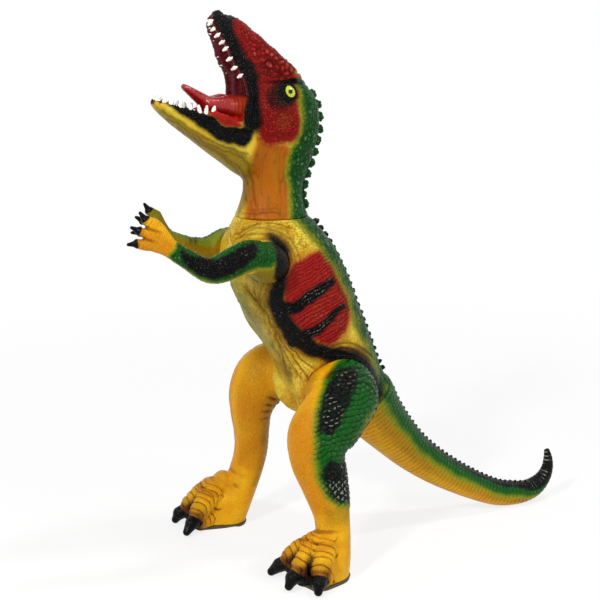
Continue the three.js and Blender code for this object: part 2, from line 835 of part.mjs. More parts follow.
function armSolid(name, side) {
  const seat = shoulderSeat(side);
  const place = armPlaces[name];
  const start = seat.centre.clone().addScaledVector(seat.axis, shoulderCapDepth / 2);
  const elbow = placeFrom(seat, side, place.elbow);
  const wrist = placeFrom(seat, side, place.wrist);
  const knuckles = placeFrom(seat, side, place.knuckles);
  const path = new THREE.CatmullRomCurve3([start, elbow, wrist, knuckles], false, "centripetal");
  const rings = [];
  const thin = [];
  for (const [at, share] of upperArmShares) {
    const halfWidth = upperArmRadius * share * upperArmFlatness;
    rings.push(ringOnPath(path, at, halfWidth, upperArmRadius * share, limbSides));
  }
  for (const [at, share] of forearmShares) {
    rings.push(ringOnPath(path, at, forearmRadius * share, forearmRadius * share, limbSides));
  }
  thin.push(...rings.map((ring) => drawnIn(ring, wall)));
  for (const [at, share] of palmShares) {
    rings.push(
      ringOnPath(path, at, (palmThickness / 2) * share, (palmWidth / 2) * share, limbSides),
    );
  }
  let outer = skin(rings).add(cap(seat, shoulderSeamRadius, shoulderCapDepth, 0));
  const hollow = skin(lengthened(thin, -wall)).add(cap(seat, shoulderSeamRadius, shoulderCapDepth, wall));
  const forward = path.getTangentAt(1);
  const spread = new THREE.Vector3(1, 0, 0).cross(forward).normalize();
  for (const rank of [-1, 0, 1]) {
    const root = knuckles.clone().addScaledVector(spread, rank * fingerPitchShare * palmWidth);
    const direction = forward.clone().addScaledVector(spread, rank * fingerFanShare).normalize();
    const tip = root.clone().addScaledVector(direction, fingerLength);
    const fingerPath = new THREE.LineCurve3(root.clone().addScaledVector(direction, -fingerLength), tip);
    const finger = [0, 1 / 2, 1].map((at) =>
      ringOnPath(fingerPath, at, fingerRadius, fingerRadius, fingerSides),
    );
    outer = outer.add(skin(finger));
    const clawRoot = tip.clone().addScaledVector(direction, -fingerRadius / 2);
    outer = outer.add(claw(clawRoot, direction, fingerClawLength, fingerClawRadius, fingerRadius / 4));
  }
  const trimmed = hollow.subtract(disc(seat, overrun, -overrun, seamGap + wall));
  outer = outer.subtract(disc(seat, shoulderSeamRadius * rootTrimShare, -overrun, seamGap));
  return mainBody(outer.subtract(trimmed).subtract(connectorHole(seat, joints.shoulder)));
}

// Legs

function legSolids(name, side) {
  const seat = hipSeat(side);
  const places = legPlaces[name];
  const at = ({ out, back, upShare = 0 }) => {
    return new THREE.Vector3(side * out, back, upShare * pelvisHeight);
  };
  const start = seat.centre.clone().addScaledVector(seat.axis, hipCapDepth * hipStartShares.out);
  start.y -= hipCapDepth * hipStartShares.forward;
  const heel = at(places.heel);
  const ground = new THREE.Vector3(heel.x, heel.y - heelStep, -soleThickness);
  const knots = [start, at(places.knee), at(places.shin), at(places.ankle), heel, ground];
  const path = new THREE.CatmullRomCurve3(knots, false, "centripetal");
  const rings = legShares.map(([share, width, depth]) =>
    ringOnPath(path, share, (kneeWidth / 2) * width, (kneeDepth / 2) * depth, limbSides),
  );
  let outer = bentSkin(rings).add(cap(seat, hipSeamRadius, hipCapDepth, 0));
  const thin = rings.slice(0, -solidFootRows).map((ring) => drawnIn(ring, wall));
  let hollow = bentSkin(lengthened(thin, -wall));
  hollow = hollow.add(cap(seat, hipSeamRadius, hipCapDepth, wall));
  hollow = hollow.subtract(disc(seat, overrun, -overrun, seamGap + wall));
  const foot = at(places.foot);
  outer = outer.add(footFlesh(foot, side, places.splay));
  for (const toe of toes) {
    const ahead = toeDirection(side, places.splay + toe.spread);
    const instep = foot.clone().addScaledVector(ahead, -toeRadius / 2);
    instep.z = instepHeight;
    const knuckle = foot.clone().addScaledVector(ahead, toe.reach * knuckleShare);
    knuckle.z = knuckleHeight;
    const clawRoot = foot.clone().addScaledVector(ahead, toe.reach);
    clawRoot.z = clawRootHeight;
    const toePath = new THREE.CatmullRomCurve3([instep, knuckle, clawRoot], false, "centripetal");
    const toeRings = toeShares.map(([share, size]) =>
      ringOnPath(toePath, share, toeRadius * size, toeRadius * size, toeSides),
    );
    outer = outer.add(skin(toeRings));
    const back = clawRoot.clone().addScaledVector(ahead, -toeClawRadius / 2);
    const droop = back.z - clawTipHeight;
    outer = outer.add(claw(back, ahead, toeClawReach, toeClawRadius, droop));
  }
  const whole = outer.subtract(slab(-overrun, 0));
  const claws = clawZone(foot, side, places.splay);
  const sole = mainBody(whole.subtract(slab(soleThickness, groundSpan)).subtract(claws));
  const soleRoom = slab(-overrun, soleThickness + fitGap).subtract(claws);
  const shell = whole.subtract(soleRoom).subtract(hollow).subtract(connectorHole(seat, joints.hip));
  return { shell: mainBody(shell), sole };
}

// A skin over rings that cross on the inside of a sharp bend, such as the back of the knee
function bentSkin(rings) {
  const bits = rings.slice(1).map((ring, i) => {
    const pair = [rings[i], ring].map((points) => points.map((p) => p.clone()));
    return wasm.Manifold.hull(lengthened(pair, fitGap).flat().map((p) => p.toArray()));
  });
  return joined(bits);
}

function toeDirection(side, angle) {
  return new THREE.Vector3(side * Math.sin(angle), -Math.cos(angle), 0);
}

// The wedge of a foot, from the heel to the balls of the toes
function footFlesh(foot, side, splay) {
  const ahead = toeDirection(side, splay);
  const across = new THREE.Vector3(-ahead.y, ahead.x, 0);
  const rings = footShares.map(([along, width, height]) => {
    const centre = foot.clone().addScaledVector(ahead, along * footLength);
    const wide = across.clone().multiplyScalar((width * footWidth) / 2);
    const tall = new THREE.Vector3(0, 0, height * instepHeight);
    return ringAbout(centre, wide, tall, ballSides);
  });
  return skin(rings);
}

// A broad level block between two heights
function slab(bottom, top) {
  const block = new THREE.BoxGeometry(groundSpan, groundSpan, top - bottom);
  return solidFrom(block.translate(0, 0, (bottom + top) / 2));
}

// The ground in front of a foot where the claws rest, beyond the edge of the sole pad
function clawZone(foot, side, splay) {
  const pieces = [];
  for (const toe of toes) {
    const angle = splay + toe.spread;
    const ahead = toeDirection(side, angle);
    const from = foot.clone().addScaledVector(ahead, toe.reach - toeClawRadius);
    const block = new THREE.BoxGeometry(toeRadius * 2, overrun, overrun);
    block.translate(0, -overrun / 2, 0).rotateZ(side * angle);
    pieces.push(solidFrom(block.translate(from.x, from.y, 0)));
  }
  return joined(pieces);
}

// Tail

function tailRings() {
  const drop = tailSeat.centre.z - tailSeamRadius;
  const rows = tailShares.map(([reach, under, radius]) => {
    const r = radius * tailSeamRadius;
    const centre = new THREE.Vector3(0, tailSeat.centre.y + reach * tailLength, under * drop + r);
    return { centre, r };
  });
  const start = tailSeat.centre.clone().addScaledVector(tailSeat.axis, seamGap);
  const centres = [start, ...rows.map((row) => row.centre)];
  const radii = [tailSeamRadius, ...rows.map((row) => row.r)];
  return centres.map((centre, i) => {
    const before = centres[Math.max(i - 1, 0)];
    const after = centres[Math.min(i + 1, centres.length - 1)];
    const tangent = i === 0 ? tailSeat.axis.clone() : after.clone().sub(before).normalize();
    const across = new THREE.Vector3(radii[i], 0, 0);
    const along = tangent.clone().cross(across).normalize().multiplyScalar(radii[i]);
    return { centre, along, ring: ringAbout(centre, across, along, tailSides), tangent };
  });
}

function tailShell() {
  const rows = tailRings();
  let outer = skin(rows.map((row) => row.ring));
  let hollow = skin(rows.slice(0, -solidTailRows).map((row) => drawnIn(row.ring, wall)));
  hollow = hollow.subtract(disc(tailSeat, overrun, -overrun, seamGap + wall));
  const topLine = rows.map(({ centre, along, tangent }) => {
    const up = new THREE.Vector3(0, -tangent.z, tangent.y);
    if (tangent.y > 0 && up.z < 0) up.negate();
    return centre.clone().addScaledVector(up.normalize(), along.length());
  });
  const fade = (share) => 1 - tailScaleFade * share;
  outer = outer.add(joined(crest(topLine, tailScalePitch, tailScaleHeight, fade)));
  outer = outer.subtract(disc(tailSeat, overrun, -overrun, seamGap));
  return mainBody(outer.subtract(hollow).subtract(connectorHole(tailSeat, joints.tail)));
}

// The whole figure, moved so that the middle of its bounding box stands on the origin
const standing = new THREE.Group();
const head = headPieces();

standing.add(meshNamed("body_shell", bodyShell(), yellowVinyl));
standing.add(meshNamed("head_shell", head.shell, redVinyl));
standing.add(meshNamed("tongue", head.tongue, redVinyl));
standing.add(meshNamed("upper_teeth", head.upper, toothPaint));
standing.add(meshNamed("lower_teeth", head.lower, toothPaint));
standing.add(meshNamed("tail_shell", tailShell(), greenVinyl));
standing.add(meshNamed("neck_connector", connector(neckSeat, joints.neck), connectorPlastic));
standing.add(meshNamed("tail_connector", connector(tailSeat, joints.tail), connectorPlastic));
for (const { name, side } of sides) {
  const leg = legSolids(name, side);
  const shoulderPlug = connector(shoulderSeat(side), joints.shoulder);
  const hipPlug = connector(hipSeat(side), joints.hip);
  standing.add(meshNamed("eye_" + name, eyeAt(side, 0), eyePlastic));
  standing.add(meshNamed("arm_shell_" + name, armSolid(name, side), greenVinyl));
  standing.add(meshNamed("leg_shell_" + name, leg.shell, yellowVinyl));
  standing.add(meshNamed("foot_sole_" + name, leg.sole, solePad));
  standing.add(meshNamed("shoulder_connector_" + name, shoulderPlug, connectorPlastic));
  standing.add(meshNamed("hip_connector_" + name, hipPlug, connectorPlastic));
}

const box = new THREE.Box3().setFromObject(standing);
const middle = box.getCenter(new THREE.Vector3());
standing.position.set(-middle.x, -middle.y, -box.min.z);

const figure = new THREE.Group();
figure.add(standing);

export default figure;
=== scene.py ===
import math

import bpy
import numpy as np
import openvdb as vdb
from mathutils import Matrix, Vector, noise


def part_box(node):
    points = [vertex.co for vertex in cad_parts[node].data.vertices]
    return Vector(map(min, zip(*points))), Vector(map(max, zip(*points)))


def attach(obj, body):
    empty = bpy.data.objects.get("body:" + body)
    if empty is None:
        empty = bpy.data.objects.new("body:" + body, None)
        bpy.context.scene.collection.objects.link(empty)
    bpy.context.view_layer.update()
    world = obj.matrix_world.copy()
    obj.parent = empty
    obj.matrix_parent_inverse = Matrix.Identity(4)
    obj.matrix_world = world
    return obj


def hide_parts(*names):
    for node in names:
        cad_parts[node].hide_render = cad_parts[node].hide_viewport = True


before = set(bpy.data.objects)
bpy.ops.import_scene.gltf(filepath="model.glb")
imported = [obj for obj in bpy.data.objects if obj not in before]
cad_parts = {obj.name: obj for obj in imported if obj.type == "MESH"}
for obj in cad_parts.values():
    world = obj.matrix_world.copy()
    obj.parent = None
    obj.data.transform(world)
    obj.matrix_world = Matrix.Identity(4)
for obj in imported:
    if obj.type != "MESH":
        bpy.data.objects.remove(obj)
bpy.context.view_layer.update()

# Lengths below are millimetres in the figure's own frame: X to its left, Y to its back, Z up,
# with the floor at 0 and the middle plane at X 0. NECK is the middle of the neck seam there.
MM = 0.001
NECK = np.array([0.0, 14.16, 290.15])
neck_low, neck_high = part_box("neck_connector")
SHIFT = (np.array(neck_low) + np.array(neck_high)) / 2 / MM - NECK

# Seams: the centre, the way out of the body, and the radius
TAIL_SEAT = np.array([0.0, 100.64, 124.4])
TAIL_AXIS = np.array([0.0, 0.669131, -0.743145])
SHOULDER = np.array([34.04, -5.58, 258.26])
HIP = np.array([33.12, 59.28, 142.34])
SHOULDER_RADIUS = 16.0
HIP_RADIUS = 30.0
SEAM = 0.3

# The camera at the photograph's angle
VIEWPOINT = np.array([1004.41, -409.96, 460.08])
AIM = np.array([24.34, 29.10, 222.0])
LENS = 80.49
SENSOR = 36.0
PIXELS = 600

# The cells of the skins' grids, in mm
STEPS = {"body": 0.96, "head": 0.8, "leg": 0.85, "tail": 0.85, "arm": 0.6, "tongue": 0.6, "sole": 0.5,
         "tooth": 0.36, "eye": 0.32}
# How far the relief of the skins rises, in mm
RELIEF = {
    "beads": 1.5, "back": 0.8, "stripe": 0.35, "wrinkles": 0.6,
    "brow": 1.5, "snout": 0.85, "cheek": 0.55, "neck": 0.85, "black": 0.5, "streaks": 0.2, "eye rings": 0.45,
    "ear": 0.5, "palate": 0.35,
    "squares": 1.3, "diamonds": 1.1, "leg": 0.12, "leg wrinkles": 0.25, "ankle": 0.5, "toes": 1.7,
    "arm": 0.6, "arm rings": 0.35, "knuckles": 0.35, "finger gaps": 0.8, "elbow": 0.5,
    "tail": 0.6,
}
# Cells of known distance on each side of a skin
BAND = 8
# Steps between two rows of a limb where its own lengths and angles are measured
LIMB_STEPS = 6
# Points round a ring
ROUND = 48
# A distance greater than any here
BEYOND = 1e9
# Points that are matched to a path at a time
PART = 20000

# The crease attribute holds painted shade.
PAINTS = ("orange", "brown", "olive", "red", "maroon", "green", "black", "crease_shade", "pebble", "painted_highlight")


def srgb(red, green, blue):
    """A colour given as 0 to 255 in sRGB, as the linear values that a shader takes."""
    out = []
    for value in (red, green, blue):
        c = value / 255
        out.append(c / 12.92 if c <= 0.04045 else ((c + 0.055) / 1.055) ** 2.4)
    return (*out, 1.0)


def smooth(low, high, x):
    """0 below low, 1 above high, and an even rise between them."""
    t = np.clip((x - low) / (high - low), 0, 1)
    return t * t * (3 - 2 * t)


def dot(a, b):
    return np.einsum("...i,...i->...", a, b)


def unit(v):
    v = np.asarray(v, float)
    return v / np.linalg.norm(v, axis=-1, keepdims=True)


# The camera's own axes, and its focal length in pixels
FORWARD = unit(AIM - VIEWPOINT)
RIGHT = unit(np.cross(FORWARD, (0, 0, 1)))
UP = np.cross(RIGHT, FORWARD)
FOCUS = LENS / SENSOR * PIXELS


def seen(points):
    """Where points fall in the photograph, in pixels. The right half is folded onto the left."""
    folded = points.copy()
    folded[:, 0] = np.abs(folded[:, 0])
    away = folded - VIEWPOINT
    depth = away @ FORWARD
    across = PIXELS / 2 + FOCUS * (away @ RIGHT) / depth
    down = PIXELS / 2 - FOCUS * (away @ UP) / depth
    return np.stack([across, down], axis=1)


def line_distance(points, line):
    """Each point's distance from a line of joined pieces, and the share along it of the nearest spot."""
    line = np.asarray(line, float)
    best = np.full(len(points), BEYOND)
    share = np.zeros(len(points))
    lengths = np.linalg.norm(np.diff(line, axis=0), axis=1)
    total = lengths.sum()
    gone = 0.0
    for a, b, length in zip(line[:-1], line[1:], lengths):
        if not length:
            continue
        t = np.clip((points - a) @ (b - a) / length ** 2, 0, 1)
        gap = np.linalg.norm(points - a - t[:, None] * (b - a), axis=1)
        near = gap < best
        best[near] = gap[near]
        share[near] = (gone + t[near] * length) / total
        gone += length
    return best, share


def along_line(points, line, widths, soft):
    """1 within a line's width, falling to 0 over soft. The widths are spread evenly along the line."""
    gap, share = line_distance(points, line)
    width = np.interp(share, np.linspace(0, 1, len(widths)), widths)
    return 1 - smooth(-soft, soft, gap - width)


def inside(points, polygon, soft):
    """1 inside a polygon and 0 outside, with an edge as soft as given."""
    polygon = np.asarray(polygon, float)
    gap, _ = line_distance(points, np.vstack([polygon, polygon[:1]]))
    x, y = points[:, 0], points[:, 1]
    within = np.zeros(len(points), bool)
    for (ax, ay), (bx, by) in zip(polygon, np.roll(polygon, -1, axis=0)):
        crosses = (ay > y) != (by > y)
        if ay != by:
            within ^= crosses & (x < (bx - ax) * (y - ay) / (by - ay) + ax)
    return smooth(-soft, soft, np.where(within, gap, -gap))


# Curves and lofts

def curve(rows, steps):
    """Rows of numbers joined by smooth curves, with that many steps between two rows."""
    rows = np.asarray(rows, float)
    pad = np.vstack([2 * rows[0] - rows[1], rows, 2 * rows[-1] - rows[-2]])
    t = (np.arange(steps) / steps)[:, None]
    out = []
    for i in range(len(rows) - 1):
        p0, p1, p2, p3 = pad[i:i + 4]
        bend = (2 * p0 - 5 * p1 + 4 * p2 - p3) * t ** 2 + (-p0 + 3 * p1 - 3 * p2 + p3) * t ** 3
        out.append((2 * p1 + (p2 - p0) * t + bend) / 2)
    out.append(rows[-1:])
    return np.vstack(out)


def circle(sides):
    turn = 2 * np.pi * np.arange(sides) / sides
    return np.cos(turn), np.sin(turn)


def profile(rows, sides=ROUND, steps=5):
    """Rings from rows of front y, z, back y, z, half width, squareness of the front and of the back."""
    c, s = circle(sides)
    rings = []
    for fy, fz, by, bz, half, front_power, back_power in curve(rows, steps):
        power = 2 / np.where(s > 0, front_power, back_power)
        x = np.sign(c) * np.abs(c) ** power * half
        t = np.sign(s) * np.abs(s) ** power
        y = (fy + by) / 2 + (fy - by) / 2 * t
        z = (fz + bz) / 2 + (fz - bz) / 2 * t
        rings.append(np.stack([x, y, z], axis=1))
    return np.array(rings)


def spine(path):
    """Points of a path with its direction, the level way across it and the third way at each."""
    path = np.asarray(path, float)
    tangent = unit(np.gradient(path, axis=0))
    across = unit(np.array([1.0, 0, 0]) - tangent * tangent[:, :1])
    along = unit(np.cross(tangent, across))
    return path, tangent, across, along


def tube(rows, sides=36, steps=5):
    """Rings from rows of x, y, z, half width across and half depth along."""
    rows = curve(rows, steps)
    path, _, across, along = spine(rows[:, :3])
    c, s = (way[None, :, None] for way in circle(sides))
    wide = across[:, None] * rows[:, 3, None, None]
    deep = along[:, None] * rows[:, 4, None, None]
    return path[:, None] + wide * c + deep * s


def dome(centre, side, rows):
    """Rings about the X axis from rows of the distance beyond a seat, and the radius."""
    c, s = circle(ROUND)
    rings = []
    for x, radius in curve(np.array(rows, float) + [centre[0], 0], 4):
        ring = np.stack([np.full(ROUND, side * x), c * radius, s * radius], axis=1)
        rings.append(ring + [0, centre[1], centre[2]])
    return np.array(rings)


def skin(rings):
    """Vertices and triangles of a closed skin over rings."""
    count, sides = rings.shape[:2]
    points = rings.reshape(-1, 3)
    hubs = np.array([rings[0].mean(0), rings[-1].mean(0)])
    faces = []
    s = np.arange(sides)
    after = (s + 1) % sides
    for r in range(count - 1):
        a, b = r * sides + s, r * sides + after
        faces.append(np.stack([a, b, a + sides], axis=1))
        faces.append(np.stack([b, b + sides, a + sides], axis=1))
    first, last = count * sides, count * sides + 1
    faces.append(np.stack([np.full(sides, first), after, s], axis=1))
    base = (count - 1) * sides
    faces.append(np.stack([np.full(sides, last), base + s, base + after], axis=1))
    return np.vstack([points, hubs]), np.vstack(faces)


def rod_gap(spots, a, b, ra, rb):
    """The distance from a rod whose radius runs from ra to rb."""
    x, y, z = spots
    way = b - a
    t = ((x - a[0]) * way[0] + (y - a[1]) * way[1] + (z - a[2]) * way[2]) / max(way @ way, 1e-9)
    t = np.clip(t, 0, 1)
    gap = (x - a[0] - t * way[0]) ** 2 + (y - a[1] - t * way[1]) ** 2 + (z - a[2] - t * way[2]) ** 2
    return np.sqrt(gap) - (ra + (rb - ra) * t)


class Field:
    """The distance to a solid's skin on a regular grid, which solids are added to and cut from."""

    def __init__(self, low, high, step):
        self.low = np.array(low, float)
        self.step = step
        size = np.ceil((np.array(high) - self.low) / step).astype(int) + 1
        self.far = BAND * step
        self.d = np.full(size, self.far, np.float32)
        axes = [self.low[i] + step * np.arange(size[i]) for i in range(3)]
        self.grid = np.meshgrid(*axes, indexing="ij", sparse=True)

    def window(self, low, high):
        """The part of the grid near a box, and the coordinates there."""
        cuts = []
        for i in range(3):
            a = int(np.floor((low[i] - self.low[i] - self.far) / self.step))
            b = int(np.ceil((high[i] - self.low[i] + self.far) / self.step)) + 1
            cuts.append(slice(max(a, 0), max(min(b, self.d.shape[i]), 0)))
        x, y, z = self.grid
        return tuple(cuts), [x[cuts[0], :, :], y[:, cuts[1], :], z[:, :, cuts[2]]]

    def blend(self, window, other, k, cut=False):
        """Joins a distance to the solid, or cuts it away, with a fillet as wide as k."""
        if cut:
            self.d[window] *= -1
        here = self.d[window]
        if k:
            h = np.clip(0.5 + 0.5 * (here - other) / k, 0, 1)
            self.d[window] = here * (1 - h) + other * h - k * h * (1 - h)
        else:
            self.d[window] = np.minimum(here, other)
        if cut:
            self.d[window] *= -1

    def add(self, rings, k=0.0):
        points, faces = skin(rings)
        spots = ((points - self.low) / self.step).astype(np.float32)
        level = vdb.FloatGrid.createLevelSetFromPolygons(
            spots, triangles=faces.astype(np.uint32), halfWidth=float(BAND)
        )
        out = np.full(self.d.shape, BAND, np.float32)
        level.copyToArray(out)
        self.blend((slice(None),) * 3, out * self.step, k)

    def rod(self, a, b, ra, rb, k=0.0, cut=False):
        """A rod from a to b, round at both ends."""
        a, b = np.asarray(a, float), np.asarray(b, float)
        most = max(ra, rb)
        window, spots = self.window(np.minimum(a, b) - most, np.maximum(a, b) + most)
        self.blend(window, rod_gap(spots, a, b, ra, rb).astype(np.float32), k, cut)

    def chain(self, points, radii, k=0.0, cut=False):
        for a, b, ra, rb in zip(points[:-1], points[1:], radii[:-1], radii[1:]):
            self.rod(a, b, ra, rb, k, cut)

    def egg(self, centre, radii, k=0.0, cut=False, axes=np.eye(3)):
        """An ellipsoid. The rows of axes are its own axes."""
        centre, radii = np.asarray(centre, float), np.asarray(radii, float)
        window, (x, y, z) = self.window(centre - radii.max(), centre + radii.max())
        x, y, z = x - centre[0], y - centre[1], z - centre[2]
        near = far = 0
        for axis, radius in zip(axes, radii):
            part = x * axis[0] + y * axis[1] + z * axis[2]
            near = near + (part / radius) ** 2
            far = far + (part / radius ** 2) ** 2
        k0, k1 = np.sqrt(near), np.sqrt(far)
        self.blend(window, (k0 * (k0 - 1) / np.maximum(k1, 1e-6)).astype(np.float32), k, cut)

    def within(self, d):
        """Keeps what lies inside another distance too."""
        self.d = np.maximum(self.d, d.astype(np.float32))

    def plane(self, point, way):
        """Cuts off what lies beyond a plane."""
        x, y, z = self.grid
        self.within((x - point[0]) * way[0] + (y - point[1]) * way[1] + (z - point[2]) * way[2])

    def socket(self, centre, side, radius):
        """Cuts a round recess about the X axis, from the seat outwards."""
        x, y, z = self.grid
        gap = np.sqrt((y - centre[1]) ** 2 + (z - centre[2]) ** 2) - radius
        self.within(-np.maximum(gap, centre[0] - side * x))

    def seat(self, centre, side, radius):
        """Ends a limb flat where it meets the body."""
        x, y, z = self.grid
        gap = np.sqrt((y - centre[1]) ** 2 + (z - centre[2]) ** 2)
        self.within(np.where(gap < radius, centre[0] + SEAM - side * x, -self.far * 10))

    def mesh(self, rounds=6):
        grid = vdb.FloatGrid(self.far)
        grid.copyFromArray(np.ascontiguousarray(np.minimum(self.d, self.far)))
        points, quads = grid.convertToQuads(0.0)
        made = Skin(points.astype(float) * self.step + self.low, quads.astype(np.int64))
        made.relax(rounds)
        return made

    def side_reach(self, side, spot):
        """How far from the middle plane the solid reaches, to one side of a spot."""
        y, z = (int(round((spot[i] - self.low[i]) / self.step)) for i in (1, 2))
        column = self.d[:, y, z]
        x = self.low[0] + self.step * np.arange(len(column))
        return (side * x[column < 0]).max()


class Skin:
    """A mesh of quads in millimetres, with the paints on it."""

    def __init__(self, points, quads):
        used = np.unique(quads)
        new = np.zeros(len(points), np.int64)
        new[used] = np.arange(len(used))
        self.p = points[used]
        self.quads = new[quads]
        self.paint = {}
        a, b, c, d = self.corners()
        volume = dot(a, np.cross(b - a, c - a)).sum() + dot(a, np.cross(c - a, d - a)).sum()
        if volume < 0:
            self.quads = self.quads[:, ::-1].copy()
        self.ends = np.vstack([self.quads[:, [i, (i + 1) % 4]] for i in range(4)]).T
        self.degree = self.sums(np.ones(len(self.p)))

    def corners(self):
        return [self.p[self.quads[:, i]] for i in range(4)]

    def sums(self, values):
        """The sum of the values of each vertex's neighbours."""
        a, b = self.ends
        count = len(self.p)
        return np.bincount(a, values[b], count) + np.bincount(b, values[a], count)

    def relax(self, rounds):
        """Evens out the steps of the grid and keeps the volume."""
        for pull in (0.6, -0.62) * rounds:
            total = np.stack([self.sums(self.p[:, axis]) for axis in range(3)], axis=1)
            self.p += pull * (total / self.degree[:, None] - self.p)

    def soften(self, rounds, *keys):
        """Spreads the edges of coats of paint, as a spray gun does."""
        for key in keys:
            values = np.asarray(self.paint[key], float)
            for _ in range(rounds):
                values = 0.25 * values + 0.75 * self.sums(values) / self.degree
            self.paint[key] = values

    def normals(self):
        a, b, c, d = self.corners()
        face = np.cross(c - a, d - b)
        out = np.zeros_like(self.p)
        for corner in range(4):
            for axis in range(3):
                out[:, axis] += np.bincount(self.quads[:, corner], face[:, axis], len(self.p))
        return unit(out + 1e-12)

    def lift(self, height):
        self.p += self.normals() * height[:, None]

    def make(self, name, body, node, slot, material):
        mesh = bpy.data.meshes.new(name)
        count = len(self.quads)
        mesh.vertices.add(len(self.p))
        mesh.vertices.foreach_set("co", ((self.p + SHIFT) * MM).astype(np.float32).ravel())
        mesh.loops.add(count * 4)
        mesh.loops.foreach_set("vertex_index", self.quads.astype(np.int32).ravel())
        mesh.polygons.add(count)
        mesh.polygons.foreach_set("loop_start", np.arange(count, dtype=np.int32) * 4)
        mesh.polygons.foreach_set("use_smooth", np.ones(count, bool))
        mesh.update(calc_edges=True)
        mesh.validate()
        for key in PAINTS:
            values = self.paint.get(key, np.zeros(len(self.p)))
            layer = mesh.attributes.new(key, "FLOAT", "POINT")
            layer.data.foreach_set("value", np.clip(values, 0, 1).astype(np.float32))
        mesh.materials.append(material)
        obj = bpy.data.objects.new(name, mesh)
        bpy.context.scene.collection.objects.link(obj)
        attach(obj, body)
        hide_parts(node)


def noise_at(points):
    return np.array([noise.noise(spot) for spot in points.tolist()])


def cells(points, size, seed, stretch=(1, 1, 1)):
    """Irregular scales: 0 in the grooves between them and 1 on their tops."""
    out = np.empty(len(points))
    for i, spot in enumerate((points * (np.asarray(stretch, float) / size) + seed).tolist()):
        gaps, _ = noise.voronoi(spot)
        out[i] = gaps[1] - gaps[0]
    return smooth(0.02, 0.5, out)


def clouds(points, size, seed):
    """Soft noise between -1 and 1."""
    return noise_at(points / size + seed)


def fibres(points, size, seed, stretch, width=0.06):
    """Thin irregular lines, most of them along the axis that is stretched least: 1 on a line."""
    bend = noise_at(points * (np.asarray(stretch, float) / size) + seed)
    return np.exp(-(bend / width) ** 2)


def ridges(phase, sharp=2.0):
    """Rounded rows with a narrow groove between them: 0 in the groove and 1 on top. One row a unit."""
    return 1 - (1 - np.abs(np.sin(np.pi * phase))) ** sharp


def groove(gap, width):
    """A crease: 1 on its line, 0 beyond about twice its width."""
    return np.exp(-((gap / width) ** 2))


def glints(row, file, width):
    """Short dashes along the upper side of each row of scales, painted as highlights."""
    return np.exp(-(((row % 1) - 0.3) / width) ** 2) * smooth(0.3, 0.75, np.abs(np.sin(np.pi * file)))


def over(*masks):
    """Several coats as one."""
    return np.maximum.reduce(masks)


def near(points, spots, full, none):
    """1 within one distance of any of the spots, and 0 beyond another."""
    gap = np.full(len(points), BEYOND)
    for spot in spots:
        gap = np.minimum(gap, np.linalg.norm(points - spot, axis=1))
    return 1 - smooth(full, none, gap)


def nearest(points, path):
    """The index of the nearest spot of a path to each point."""
    best = np.empty(len(points), int)
    for start in range(0, len(points), PART):
        part = points[start:start + PART]
        best[start:start + PART] = ((part[:, None] - path[None]) ** 2).sum(axis=2).argmin(axis=1)
    return best


def limb(points, rows, side):
    """The share along a limb, and the angle round it: 0 outwards and 90 to the front or top."""
    path, _, across, along = spine(curve(rows, LIMB_STEPS)[:, :3])
    best = nearest(points, path)
    away = points - path[best]
    angle = np.degrees(np.arctan2(dot(away, along[best]), dot(away, across[best]) * side))
    return best / (len(path) - 1), angle


def window(x, low, high, soft):
    """1 between two values, with soft ends."""
    return smooth(low - soft, low + soft, x) * (1 - smooth(high - soft, high + soft, x))


def round_gap(points, centre):
    """The distance from an axis along X."""
    return np.hypot(points[:, 1] - centre[1], points[:, 2] - centre[2])


def frayed(points):
    """The photograph's view of points, shifted a little to and fro as sprayed edges are."""
    shift = np.stack([clouds(points, 11, 21), clouds(points, 11, 43)], axis=1) * 2.2
    shift += np.stack([clouds(points, 4, 5), clouds(points, 4, 17)], axis=1) * 1.2
    return seen(points) + shift


def twin(points, rows, side, model):
    """Where points of one limb fall on the other side's, whose rows are model."""
    rows, model = curve(rows, LIMB_STEPS), curve(model, LIMB_STEPS)
    path, tangent, across, along = spine(rows[:, :3])
    path2, tangent2, across2, along2 = spine(model[:, :3])
    best = nearest(points, path)
    other = np.round(best * (len(path2) - 1) / (len(path) - 1)).astype(int)
    away = points - path[best]
    wide = dot(away, across[best]) * side * model[other, 3] / rows[best, 3]
    deep = dot(away, along[best]) * model[other, 4] / rows[best, 4]
    spot = path2[other] + across2[other] * wide[:, None] + along2[other] * deep[:, None]
    return spot + tangent2[other] * dot(away, tangent[best])[:, None]


def creases(px, lines, widen, least, hollow=0.0, mask=1.0):
    """How deep the creases along lines are, and how dark their painted shade is. They fade to a least share
    at their ends.
    """
    depths, dark = np.zeros((2, len(px)))
    for line, width, depth, shade in lines:
        gap, share = line_distance(px, curve(line, 4))
        fade = smooth(0, 0.12, share) * (1 - smooth(0.85, 1, share))
        kept = least[0] + (1 - least[0]) * fade
        depths += depth * groove(gap, width * widen[0]) * kept * mask
        if hollow:
            depths -= depth * hollow * groove(gap - width * 2.6, width * 1.5) * fade
        kept = least[1] + (1 - least[1]) * fade
        dark = over(dark, shade * groove(gap, width * widen[1]) * kept * mask)
    return depths, dark


# Materials

